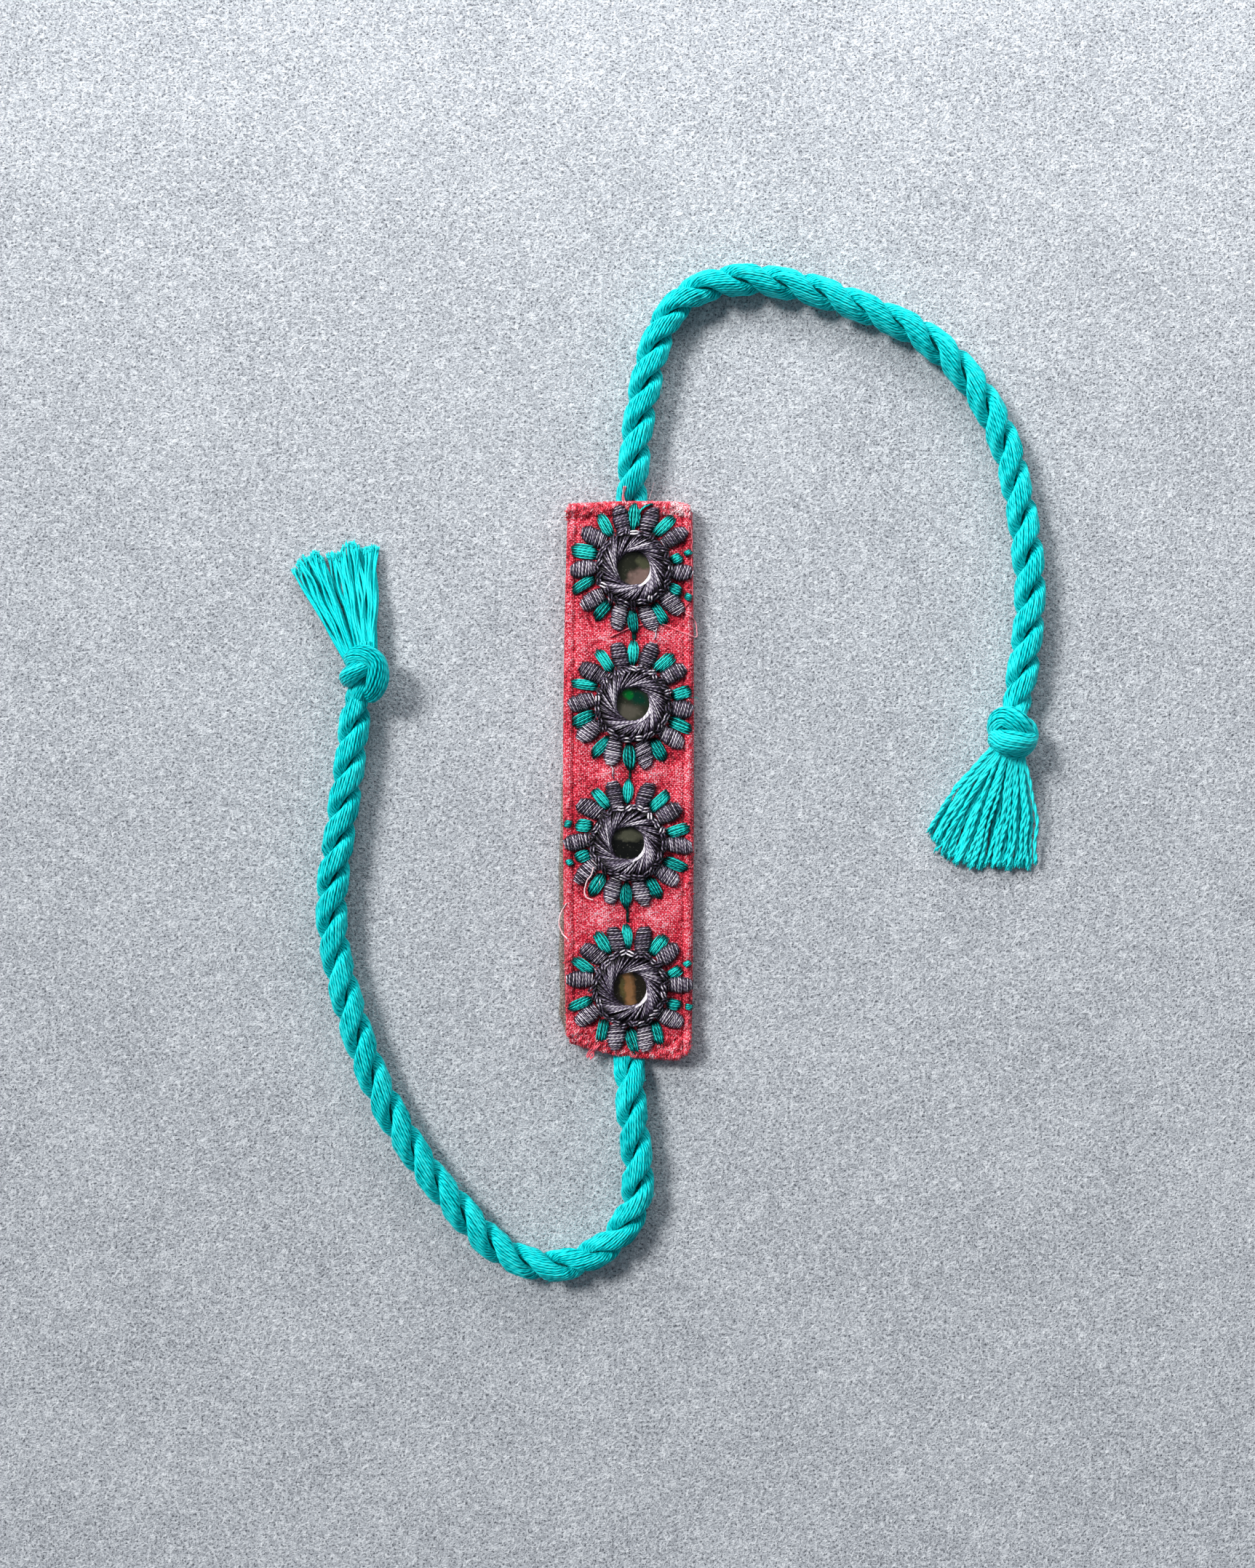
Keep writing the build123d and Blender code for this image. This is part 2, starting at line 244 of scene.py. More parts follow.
class Shader:
    """A material's nodes, with short names for the ones used here."""

    def __init__(self, name):
        self.material = bpy.data.materials.new(name)
        self.material.use_nodes = True
        self.tree = self.material.node_tree
        self.shader = self.tree.nodes["Principled BSDF"]

    def put(self, value, socket):
        """A number or colour is set on the socket, and a Value is linked to it."""
        if isinstance(value, Value):
            self.tree.links.new(value.socket, socket)
        else:
            socket.default_value = value

    def node(self, kind, *values, **settings):
        """Makes a node, whose first inputs take the values."""
        made = self.tree.nodes.new(kind)
        for name, value in settings.items():
            setattr(made, name, value)
        for value, socket in zip(values, made.inputs):
            self.put(value, socket)
        return made

    def value(self, node, output=0):
        return Value(self, node.outputs[output])

    def math(self, operation, *values):
        return self.value(self.node("ShaderNodeMath", *values, operation=operation))

    def parts(self, vector):
        """A vector's three parts."""
        made = self.node("ShaderNodeSeparateXYZ", vector)
        return [self.value(made, k) for k in range(3)]

    def uv(self):
        """The two UV coordinates, in millimetres."""
        return self.parts(self.value(self.node("ShaderNodeUVMap", uv_map="UVMap")))[:2]

    def place(self):
        """The place on the object, in metres."""
        return self.value(self.node("ShaderNodeTexCoord"), "Object")

    def tint(self):
        """A thread's own tint, how far along it the place is, and how much it faces out."""
        source = self.value(self.node("ShaderNodeAttribute", attribute_name="tint"), "Color")
        made = self.node("ShaderNodeSeparateColor", source)
        return [self.value(made, k) for k in range(3)]

    def vector(self, x, y, z):
        return self.value(self.node("ShaderNodeCombineXYZ", x, y, z))

    def noise(self, vector, scale, detail=2.0, roughness=0.5, distortion=0.0):
        made = self.node("ShaderNodeTexNoise", vector)
        made.inputs["Scale"].default_value = scale
        made.inputs["Detail"].default_value = detail
        made.inputs["Roughness"].default_value = roughness
        made.inputs["Distortion"].default_value = distortion
        return self.value(made)

    def ramp(self, factor, stops):
        """A colour for each place from 0 to 1, as (place, colour) stops."""
        made = self.node("ShaderNodeValToRGB", factor)
        elements = made.color_ramp.elements
        while len(elements) < len(stops):
            elements.new(0.5)
        for element, (place, colour) in zip(elements, stops):
            element.position = place
            element.color = rgba(colour)
        return self.value(made)

    def blend(self, factor, first, second):
        made = self.node("ShaderNodeMix", factor, data_type="RGBA")
        self.put(first, made.inputs[6])
        self.put(second, made.inputs[7])
        return self.value(made, 2)

    def span(self, value, low, high, to_low=0.0, to_high=1.0):
        """The value carried from one span to another, and held at its ends."""
        return self.value(self.node("ShaderNodeMapRange", value, low, high, to_low, to_high))

    def bump(self, height, distance, strength=1.0):
        made = self.node("ShaderNodeBump")
        made.inputs["Strength"].default_value = strength
        made.inputs["Distance"].default_value = distance * MM
        self.put(height, made.inputs["Height"])
        self.put(self.value(made), self.shader.inputs["Normal"])

    def finish(self, colour, sockets):
        """Sets the base colour and the shader's own named sockets."""
        self.put(colour, self.shader.inputs["Base Color"])
        for name, value in sockets.items():
            self.put(value, self.shader.inputs[name])
        return self.material


def rgba(colour):
    """Screen values from 0 to 255 as linear light."""
    share = np.asarray(colour, float) / 255
    return (*np.where(share <= 0.04045, share / 12.92, ((share + 0.055) / 1.055) ** 2.4), 1)


THREAD_GLOSS = {"Roughness": 0.4, "Sheen Weight": 0.15, "Sheen Roughness": 0.4, "Specular IOR Level": 0.4}
YARN_PLIES = 2


def thread_material(look):
    """Twisted thread: plies that wind round each other and have fine streaks. Its colour carries painted
    shade in the grooves between the plies, where it turns down between its neighbours and at its ends, and a
    painted highlight on its outer crests.
    """
    s = Shader(look.name)
    u, v = s.uv()
    tint, share, facing = s.tint()
    turn = tint * 9.0 + (v + u / look.lay)
    ridge = s.math("ABSOLUTE", s.math("COSINE", turn * (math.pi * YARN_PLIES)))
    angle = turn * TAU
    ring = s.vector(s.math("COSINE", angle) * 5.0, s.math("SINE", angle) * 5.0, tint * 40.0 + u * 0.45)
    fibre = s.noise(ring, 1.0, detail=3.0, roughness=0.65)
    patch = s.noise(s.place(), 420.0)
    end = s.math("MINIMUM", share, s.math("SUBTRACT", 1.0, share))
    # Painted shade and highlight: the plies' crests are paler and the grooves between them darker
    level = ridge * look.ridged + s.span(fibre, 0.3, 0.7) * 0.24 + tint * look.varied
    level += s.span(patch, 0.3, 0.7) * 0.10
    # Painted shade where a thread turns down between its neighbours, painted highlight on its outer crest
    level += s.span(facing, 0.5, 0.96, look.dark, 0.32)
    # Painted shade at a thread's ends, where it goes down under the cloth or its neighbours
    level += s.span(end, 0.04, 0.27, -look.edge, 0.0)
    s.bump(ridge * 0.7 + fibre * 0.5, look.depth, 0.8)
    gloss = {"Specular Tint": rgba(look.gleam), "Sheen Tint": rgba(look.gleam)}
    return s.finish(s.ramp(level, look.stops), THREAD_GLOSS | gloss)


def core_material(name, dark, pale):
    """The inner threads and padding, coloured dark as painted shade, so that they show as shaded gaps between
    the outer threads.
    """
    s = Shader(name)
    mottle = s.noise(s.place(), 2500.0)
    s.bump(mottle, 0.05, 0.5)
    colour = s.ramp(mottle, [(0.35, dark), (0.7, pale)])
    return s.finish(colour, {"Roughness": 0.85, "Specular IOR Level": 0.1})


# A thread's colours, from its darkest level to its palest
CORD_STOPS = [(0.08, (0, 52, 60)), (0.35, (0, 132, 140)), (0.60, (0, 218, 222)), (0.92, (60, 255, 255))]
YARN_STOPS = [(0.06, (0, 54, 62)), (0.30, (0, 142, 150)), (0.54, (0, 224, 228)), (0.86, (60, 255, 255))]
TEAL_STOPS = [(0.20, (0, 12, 14)), (0.47, (0, 60, 62)), (0.73, (0, 160, 158)), (0.94, (60, 255, 242))]
GREY_STOPS = [(0.26, (5, 1, 6)), (0.53, (35, 21, 42)), (0.72, (111, 97, 127)), (0.93, (255, 249, 255))]
FRAY_STOPS = [(0.10, (156, 6, 30)), (0.36, (238, 40, 66)), (0.64, (255, 112, 132)), (0.95, (255, 226, 230))]

# lay is how far along a thread its plies take for one turn, depth how deep their relief is, ridged how much
# painted shade and highlight their plies show, dark the painted shade where a thread turns down between its
# neighbours, varied how much the threads differ, edge how much painted shade darkens their ends, and gleam
# the colour of their shine
Thread = namedtuple("Thread", "name stops lay depth ridged dark varied edge gleam")
THREADS = [
    Thread("cord_thread", CORD_STOPS, 2.6, 0.07, 0.30, -0.10, 0.22, 0.0, (60, 245, 255)),
    Thread("yarn_thread", YARN_STOPS, 2.0, 0.03, 0.12, -0.04, 0.22, 0.0, (60, 245, 255)),
    Thread("teal_thread", TEAL_STOPS, 1.5, 0.05, 0.30, -0.34, 0.36, 0.42, (120, 255, 240)),
    Thread("grey_thread", GREY_STOPS, 1.4, 0.04, 0.26, -0.28, 0.27, 0.42, (255, 255, 255)),
]
cord_thread, yarn_thread, teal_thread, grey_thread = [thread_material(look) for look in THREADS]
# Dark core colours: painted shade in the gaps between the outer threads; the dark teal one also colours dark
# loose threads
cord_shade_core = core_material("cord_shade_core", (0, 44, 48), (0, 92, 94))
dark_teal_and_shade = core_material("dark_teal_and_shade", (0, 26, 26), (0, 60, 54))
grey_shade_core = core_material("grey_shade_core", (10, 7, 11), (34, 28, 38))


# Cords: the same points that the part's own tubes follow

CORD_DIAMETER = 4.9
CORD_LEVEL = CORD_DIAMETER / 2
UPPER_ROUTE = [
    (0.8, 44.45),
    (1.1, 51.5),
    (2.7, 61.5),
    (4.9, 71.0),
    (9.3, 77.2),
    (17.4, 79.6),
    (26.6, 78.6),
    (37.4, 75.0),
    (50.0, 69.2),
    (59.4, 56.5),
    (63.1, 40.5),
    (64.3, 25.5),
    (61.6, 11.7),
]
LOWER_ROUTE = [
    (0.4, -44.45),
    (0.6, -51.5),
    (1.9, -60.4),
    (1.7, -67.6),
    (-2.6, -73.7),
    (-9.4, -76.8),
    (-15.3, -76.6),
    (-21.0, -73.8),
    (-26.1, -68.2),
    (-32.3, -60.9),
    (-39.2, -49.5),
    (-43.9, -36.3),
    (-47.3, -22.0),
    (-45.0, -5.7),
    (-43.5, 4.2),
    (-42.7, 12.0),
]
CORD_PITCH = 12.7
PLY_OFFSET = 1.28
PLY_DEEP = 0.97  # half a ply's depth, out from the cord's middle
PLY_WIDE = 1.66  # half its width
PLY_STRANDS = 22
STRAND_RADIUS = 0.215
STRAND_STEP = 0.62  # from one point along a strand to the next
COUNTER_TWIST = 0.5  # how much of the cord's twist the strands undo in their ply
PLY_CORE_RADIUS = 0.88
PLY_LOWEST = 0.8  # how low the middle of a ply may lie
CORD_CORE_RADIUS = 0.75
FUZZ_DENSITY = 2.2  # loose fibres for each millimetre of cord
UNDER_HEM = 2.0  # how far the strands run in under the band's end
PRESS_LENGTH = 7.0  # the stretch over which the hem presses them flatter
PRESSED = 0.5
INTO_KNOT = 2.6  # how far the strands run on into the knot
NARROW_LENGTH = 5.0  # the stretch over which the knot draws them together
NARROWED = 0.55


def spline_line(name, route):
    """Points along the route's NURBS spline, in millimetres."""
    curve = bpy.data.curves.new(name, "CURVE")
    curve.dimensions = "3D"
    curve.resolution_u = 24
    spline = curve.splines.new("NURBS")
    spline.points.add(len(route) - 1)
    for point, (x, y) in zip(spline.points, route):
        point.co = (x * MM, y * MM, CORD_LEVEL * MM, 1)
    spline.order_u = 3
    spline.use_endpoint_u = True
    guide = bpy.data.objects.new(name, curve)
    mesh = bpy.data.meshes.new_from_object(guide)
    line = np.array([v.co for v in mesh.vertices]) / MM
    bpy.data.objects.remove(guide)
    bpy.data.meshes.remove(mesh)
    return line


def oval(share):
    """A place round a ply at each share of its outline: out from the cord's middle, and sideways."""
    angle = TAU * np.linspace(0, 1, 181)
    outline = np.stack([PLY_DEEP * np.cos(angle), PLY_WIDE * np.sin(angle), 0 * angle], axis=1)
    along = lengths(outline)
    place = (share % 1) * along[-1]
    return np.interp(place, along, outline[:, 0]), np.interp(place, along, outline[:, 1])


UP = np.array([0.0, 0.0, 1.0])


def make_cord(end):
    """Two plies of strands, twisted round each other along the route."""
    rng = np.random.default_rng(end.seed)
    line = spline_line(f"cord_{end.name}_guide", end.route)
    run = lengths(line)[-1]
    before = line[0] + unit(line[0] - line[1]) * UNDER_HEM
    after = line[-1] + unit(line[-1] - line[-2]) * INTO_KNOT
    total = UNDER_HEM + run + INTO_KNOT
    whole = even(np.vstack([before, line, after]), int(total / STRAND_STEP))
    along = lengths(whole)
    left = unit(np.cross(UP, unit(np.gradient(whole, axis=0))))
    beyond = along - UNDER_HEM
    uneven = np.sin(beyond / 15 + end.seed) - math.sin(end.seed)
    turn = end.phase + TAU * beyond / CORD_PITCH + 0.35 * uneven
    slack = 1 + 0.04 * np.sin(along / 5.3 + end.seed) + 0.03 * np.sin(along / 2.9)
    # The knot draws the strands together, and close to the band the hem presses them flat
    narrow = 1 - (1 - NARROWED) * np.clip((along - total + NARROW_LENGTH) / NARROW_LENGTH, 0, 1) ** 1.5
    press = 1 - (1 - PRESSED) * np.clip(1 - beyond / PRESS_LENGTH, 0, 1) ** 2
    cores, paths, outer = [], [], []
    for ply in range(2):
        angle = turn + ply * math.pi
        out, beside = around(left, UP, angle), around(UP, -left, angle)
        middle = whole + out * (PLY_OFFSET * slack * narrow)[:, None]
        cores.append(middle)
        for k in range(PLY_STRANDS):
            share = (k + rng.uniform(-0.12, 0.12)) / PLY_STRANDS - (1 + COUNTER_TWIST) * turn / TAU
            deep, wide = oval(share)
            loose = narrow * (1 + rng.uniform(-0.03, 0.03) + 0.03 * np.sin(along / 2.1 + rng.uniform(0, TAU)))
            offset = out * (deep * loose)[:, None] + beside * (wide * loose)[:, None]
            paths.append(middle + offset)
            outer.append(unit(offset))
    paths, cores = np.array(paths), np.array(cores)
    for points, low in ((paths, STRAND_RADIUS), (cores, PLY_LOWEST)):
        points[..., 2] = np.maximum(points[..., 2] * press, low)
    mesh = Mesh()
    mesh.tubes(paths, STRAND_RADIUS, 5, rng.uniform(0, 1, len(paths)), crest=outer)
    # The ply cores and the cord's core wear the dark core colour: painted shade in the gaps between the
    # strands
    mesh.tubes(cores, PLY_CORE_RADIUS * press * narrow, 8, material=1)
    whole[:, 2] *= press
    mesh.tubes(whole[None], CORD_CORE_RADIUS * press * narrow, 8, material=1)
    add_fuzz(mesh, paths, rng, int(run * FUZZ_DENSITY))
    name = f"cord_{end.name}"
    return mesh.build(f"{name}_strands", [cord_thread, cord_shade_core], "cord_thread", [name]), line, run


def add_fuzz(mesh, paths, rng, number, length=(0.5, 1.5), radius=0.028):
    """Fine loose fibres that stand off the strands."""
    fibres = []
    for _ in range(number):
        path = paths[rng.integers(len(paths))]
        i = rng.integers(2, len(path) - 3)
        ahead = unit(path[i + 1] - path[i - 1])
        out = unit(path[i] - paths[:, i].mean(axis=0) + rng.normal(0, 0.4, 3))
        out[2] = abs(out[2]) if path[i][2] < 1.0 else out[2]
        reach = rng.uniform(*length)
        bend = rng.normal(0, 0.35, 3)
        t = np.linspace(0, 1, 6)[:, None]
        fibre = path[i] + ahead * reach * t * rng.uniform(0.4, 1.0) * rng.choice([-1, 1])
        fibre = fibre + out * (0.28 + reach * 0.55 * t * (1.3 - t)) + bend * reach * t**2 * 0.6
        fibre[:, 2] = np.maximum(fibre[:, 2], radius)
        fibres.append(fibre)
    mesh.tubes(fibres, radius, 3, rng.uniform(0.5, 1.0, number))


# Knots: a bundle of strands along a given path round the knot's middle. x and y are the picture's
# right and up, z is above the knot's middle, and wide is the bundle's radius.

KNOT_LEVEL = 3.65
KNOT_POINTS = 120
KNOT_STRANDS = 22
KNOT_TWIST = 0.16  # how far the strands turn round the bundle in each millimetre
KNOT_STRAND_RADIUS = 0.245
Turn = namedtuple("Turn", "x y z wide")
UPPER_KNOT = [
    Turn(1.5, 6.2, -1.2, 0.90),
    Turn(1.1, 4.1, -0.7, 1.00),
    Turn(0.6, 2.2, -0.5, 1.10),
    Turn(-0.6, 0.5, -1.2, 1.10),
    Turn(-2.2, -0.1, -1.0, 1.10),
    Turn(-2.6, 1.3, 0.2, 1.25),
    Turn(-1.6, 2.4, 1.2, 1.50),
    Turn(-0.1, 1.9, 1.8, 1.60),
    Turn(1.3, 0.8, 1.4, 1.45),
    Turn(2.4, -0.3, 0.2, 1.20),
    Turn(2.3, -1.7, -0.8, 1.15),
    Turn(0.4, -2.9, -0.9, 1.25),
    Turn(-1.8, -1.9, -0.7, 1.15),
    Turn(-2.5, -0.8, 0.4, 1.20),
    Turn(-1.7, -1.3, 1.5, 1.45),
    Turn(0.0, -1.4, 2.0, 1.60),
    Turn(1.9, -1.3, 1.6, 1.45),
    Turn(2.8, -0.5, 0.7, 1.05),
    Turn(2.5, 0.9, 0.9, 0.85),
    Turn(1.8, 1.4, 0.2, 0.80),
    Turn(1.1, 0.2, -0.6, 0.90),
    Turn(0.2, -1.9, -1.4, 1.20),
    Turn(-0.2, -3.3, -1.9, 1.20),
    Turn(-0.6, -5.0, -1.8, 1.20),
]
LOWER_KNOT = [
    Turn(-1.9, -6.4, -1.3, 0.90),
    Turn(-1.4, -4.1, -0.9, 1.00),
    Turn(-0.6, -1.8, -0.2, 1.15),
    Turn(0.1, 0.0, -1.0, 1.10),
    Turn(-0.7, 1.9, -1.3, 1.10),
    Turn(-2.0, 2.7, -0.4, 1.15),
    Turn(-1.4, 3.4, 0.9, 1.25),
    Turn(0.3, 3.5, 1.6, 1.30),
    Turn(1.8, 2.4, 1.5, 1.40),
    Turn(2.1, 0.5, 1.3, 1.55),
    Turn(1.8, -1.4, 0.9, 1.60),
    Turn(0.8, -2.5, -0.4, 1.30),
    Turn(-0.5, -1.5, -1.9, 1.10),
    Turn(-2.0, -0.4, -1.3, 1.10),
    Turn(-2.6, 0.0, 0.2, 1.20),
    Turn(-1.7, 0.7, 1.4, 1.30),
    Turn(-0.4, 1.5, 1.5, 1.15),
    Turn(0.5, 2.5, 0.2, 1.00),
    Turn(0.2, 3.9, -1.0, 1.10),
    Turn(0.0, 5.5, -1.3, 1.20),
]


def make_knot(end):
    rng = np.random.default_rng(end.seed + 1)
    middle = middle_mm(f"knot_{end.name}")
    spots = [(middle[0] + t.x, middle[1] + t.y, KNOT_LEVEL + t.z) for t in end.turns]
    line = smooth(spots, KNOT_POINTS)
    wide = smooth([(i, t.wide, 0) for i, t in enumerate(end.turns)], KNOT_POINTS)[:, 1]
    side, other = frames(line)
    along = lengths(line)
    paths, outer = [], []
    for k in range(KNOT_STRANDS):
        angle = TAU * (k + rng.uniform(-0.2, 0.2)) / KNOT_STRANDS + KNOT_TWIST * along
        off = wide * (1 + 0.04 * np.sin(along / 1.7 + rng.uniform(0, TAU))) * rng.uniform(0.95, 1.04)
        spoke = around(side, other, angle)
        paths.append(line + off[:, None] * spoke)
        outer.append(spoke)
    paths = np.array(paths)
    paths[..., 2] = np.maximum(paths[..., 2], KNOT_STRAND_RADIUS)
    # Painted shade: the knot's strands are tinted darker by its shade
    tints = rng.uniform(0, 1, KNOT_STRANDS) - end.shade
    mesh = Mesh()
    mesh.tubes(paths, KNOT_STRAND_RADIUS, 5, tints, crest=outer)
    # A core inside the bundle, tinted down to the thread's darkest colour: painted shade in the gaps between
    # the strands
    mesh.tubes(line[None], wide * 0.95, 10, -0.8)
    add_fuzz(mesh, paths, rng, 60)
    return mesh.build(f"knot_{end.name}_wraps", [cord_thread], "cord_thread", [f"knot_{end.name}"])


# Tassels: strands of two yarns that fan out from the knot to the surface. A tip's angle is in degrees from
# the picture's right, and its reach is from the tassel's root.

Tip = namedtuple("Tip", "angle reach")
UPPER_TIPS = [
    Tip(-132, 17.2),
    Tip(-126, 18.5),
    Tip(-116, 19.4),
    Tip(-109, 19.0),
    Tip(-102, 19.2),
    Tip(-97, 18.3),
    Tip(-89, 18.6),
    Tip(-83, 18.5),
    Tip(-76, 18.9),
]
LOWER_TIPS = [
    Tip(83, 17.6),
    Tip(88, 17.2),
    Tip(92, 18.0),
    Tip(98, 18.2),
    Tip(102, 16.4),
    Tip(107, 17.4),
    Tip(111, 16.8),
    Tip(114, 18.6),
    Tip(122, 18.2),
    Tip(128, 17.6),
]
YARN_RADIUS = 0.20
YARN_OFFSET = 0.14
CLUMPS = 5
STRAY_SHARE = 0.14  # the share of the strands whose tips stray to a side
LAYER_LEVELS = (1.2, 2.15, 3.1)  # at the knot
LAYER_RISES = (0.0, 0.55, 1.0)  # at the tips
BRUSH_HAIRS = 16  # at each strand's end
BRUSH_RADIUS = 0.085


def level_direction(degrees):
    """The direction along the surface at an angle from the picture's right."""
    heading = math.radians(degrees)
    return np.array([math.cos(heading), math.sin(heading), 0])


def make_tassel(end):
    rng = np.random.default_rng(end.seed + 2)
    angles = np.array([tip.angle for tip in end.tips], float)
    reaches = [tip.reach for tip in end.tips]
    root = np.array([*end.root, 0])
    axis = level_direction(angles.mean())
    sideways = np.array([-axis[1], axis[0], 0])
    t = np.linspace(0, 1, 60)
    s = t[:, None]
    apart = YARN_OFFSET * (1 + 0.5 * np.clip((t - 0.93) / 0.07, 0, 1))
    yarns, strand_ends = [], []
    for k in range(end.strands):
        share = (k + rng.uniform(-0.8, 0.8)) / (end.strands - 1)
        share = np.clip(share + 0.020 * math.sin(TAU * CLUMPS * share), 0, 1) ** 1.15
        angle = angles.min() + share * np.ptp(angles)
        reach = np.interp(angle, angles, reaches) * rng.uniform(0.955, 1.01)
        ahead = level_direction(angle)
        layer = k % 3
        out = sideways * (share - 0.5) * 2
        begin = root + out * 2.3
        begin[2] = LAYER_LEVELS[layer] + rng.uniform(-0.2, 0.2)
        tip = root + ahead * reach
        if rng.uniform() < STRAY_SHARE:
            tip += sideways * rng.uniform(-1.6, 1.6)
        tip[2] = 0.35 + LAYER_RISES[layer] * rng.uniform(0.5, 1.0)
        first = begin + axis * reach * 0.3 + out * end.bulge * 1.3
        first[2] = begin[2] + 0.25
        second = tip - ahead * reach * 0.36 + rng.normal(0, 0.25, 3) + out * end.bulge
        second[2] = 0.5 + layer * 0.75
        line = (1 - s) ** 3 * begin + 3 * (1 - s) ** 2 * s * first + 3 * (1 - s) * s**2 * second + s**3 * tip
        wave = rng.uniform(0.1, 0.36) * np.sin(TAU * t * rng.uniform(1.5, 2.6) + rng.uniform(0, TAU)) * t
        line = even(line + sideways * wave[:, None], len(t))
        line[:, 2] = np.maximum(line[:, 2], YARN_RADIUS + YARN_OFFSET)
        side, other = frames(line)
        turn = TAU * lengths(line) / (end.lay * rng.uniform(0.8, 1.3)) + k
        for angle in (turn, turn + math.pi):
            yarns.append(line + around(side, other, angle) * apart[:, None])
        strand_ends.append((line[-1], unit(line[-1] - line[-8])))
    yarns = np.array(yarns)
    yarns[..., 2] = np.maximum(yarns[..., 2], YARN_RADIUS)
    radius = YARN_RADIUS * (1 - 0.2 * np.clip((t - 0.94) / 0.06, 0, 1))
    mesh = Mesh()
    # Painted light: glow tints the yarns paler
    mesh.tubes(yarns, radius, 5, end.glow + rng.uniform(0, 1, len(yarns)))
    brush = []
    s = np.linspace(0, 1, 5)[:, None]
    for place, ahead in strand_ends:
        for _ in range(BRUSH_HAIRS):
            reach = rng.uniform(0.5, 0.8)
            start = place - ahead * rng.uniform(0.2, 0.5) + rng.normal(0, 0.14, 3)
            bend = rng.normal(0, 0.10, 3) * (1, 1, 0.5)
            hair = start + ahead * reach * s + bend * s**1.5
            hair[:, 2] = np.maximum(hair[:, 2], 0.08)
            brush.append(hair)
    mesh.tubes(brush, BRUSH_RADIUS, 3, rng.uniform(1.0, 1.8, len(brush)))
    add_fuzz(mesh, yarns, rng, 50, (0.4, 1.2), 0.025)
    return mesh.build(f"tassel_{end.name}_strands", [yarn_thread], "cord_thread", [f"tassel_{end.name}"])


# phase is a cord's twist at the hem, and shade how much painted shade darkens its knot. root is where its
# tassel starts, lay how far the tassel's yarns take for one turn, bulge how far its sides swell, and glow how
# much its yarns are painted paler, as painted light.
End = namedtuple("End", "name route phase turns shade root tips strands lay bulge glow seed")
ENDS = [
    End("upper", UPPER_ROUTE, 0.2, UPPER_KNOT, 0.0, (60.2, 4.9), UPPER_TIPS, 66, 3.6, 2.2, 0.75, 11),
    End("lower", LOWER_ROUTE, -0.4, LOWER_KNOT, 0.6, (-42.0, 19.4), LOWER_TIPS, 60, 14.0, 1.0, 0.0, 23),
]

for end in ENDS:
    cord, line, run = make_cord(end)
    knot, tassel = make_knot(end), make_tassel(end)


# Cloth

band_low, band_high = box_mm("band")
backing_low, backing_high = box_mm("backing")
BAND_MIDDLE = (band_low[0] + band_high[0]) / 2
BAND_WIDTH = band_high[0] - band_low[0]
BAND_REACH = band_high[1]
CLOTH_TOP = band_high[2]
BACKING_TOP = band_low[2]
CLOTH_THICKNESS = 0.35
TURNED_IN = 8.0  # how far the band's cloth is turned in under each side
TURNED_IN_ENDS = 4.5
FOLD_ROUND = 0.8
SEAM_INSET = 1.65
SEAM_WIDTH = 0.2
SEAM_DEPTH = 0.34
SEAM_STITCH = 1.15  # the length of a stitch
PUCKERS = 10  # round each motif
TOP_HEM = 2.4
BOTTOM_HEM = 3.9
WEAVE = 0.29  # from one thread of the cloth to the next
BACKING_WEAVE = 0.30
BAND_STEPS = (0.48, 0.52)  # from one point of the band's mesh to the next, across it and along it
BACKING_STEP = 0.8

# The band's ends, from its left side to its right: the place across the band from its middle, and how far
# short of its full length, both as shares of its width
EndPoint = namedtuple("EndPoint", "across short")
TOP_END = [
    EndPoint(-0.465, 0.078),
    EndPoint(-0.435, 0.020),
    EndPoint(0.0, 0.0),
    EndPoint(0.367, 0.006),
    EndPoint(0.462, 0.026),
    EndPoint(0.489, 0.082),
]
BOTTOM_END = [
    EndPoint(-0.476, 0.249),
    EndPoint(-0.440, 0.128),
    EndPoint(-0.049, 0.022),
    EndPoint(0.378, 0.0),
    EndPoint(0.450, 0.045),
    EndPoint(0.483, 0.128),
]


def end_line(table, share):
    """How far the band reaches at each share of the way across."""
    across = np.array([p.across for p in table])
    short = np.array([p.short for p in table])
    at = (across - across[0]) / (across[-1] - across[0])
    return BAND_REACH - BAND_WIDTH * np.interp(share, at, short)


def side_line(end, share):
    """The side's place across at each share of the way from the bottom to the top."""
    bottom, top = BOTTOM_END[end].across, TOP_END[end].across
    middle = math.copysign(0.5, top)
    bow = middle - (bottom + top) / 2
    return BAND_MIDDLE + BAND_WIDTH * (bottom + (top - bottom) * share + 4 * bow * share * (1 - share))


def places(length, step):
    """Places along a length: close together where the cloth turns over at both ends, and even between."""
    edge = np.array([0, 0.05, 0.12, 0.22, 0.36, 0.55, 0.8, 1.1, 1.35, 1.5, 1.65, 1.8, 1.95, 2.2])
    inner = np.linspace(edge[-1], length - edge[-1], int((length - 2 * edge[-1]) / step) + 2)
    return np.concatenate([edge[:-1], inner, length - edge[-2::-1]])


def fold_rise(gap):
    """The share of its full height that folded cloth has, where gap is how far the place is past its flat."""
    return np.sqrt(1 - np.minimum(gap / FOLD_ROUND, 1) ** 2)


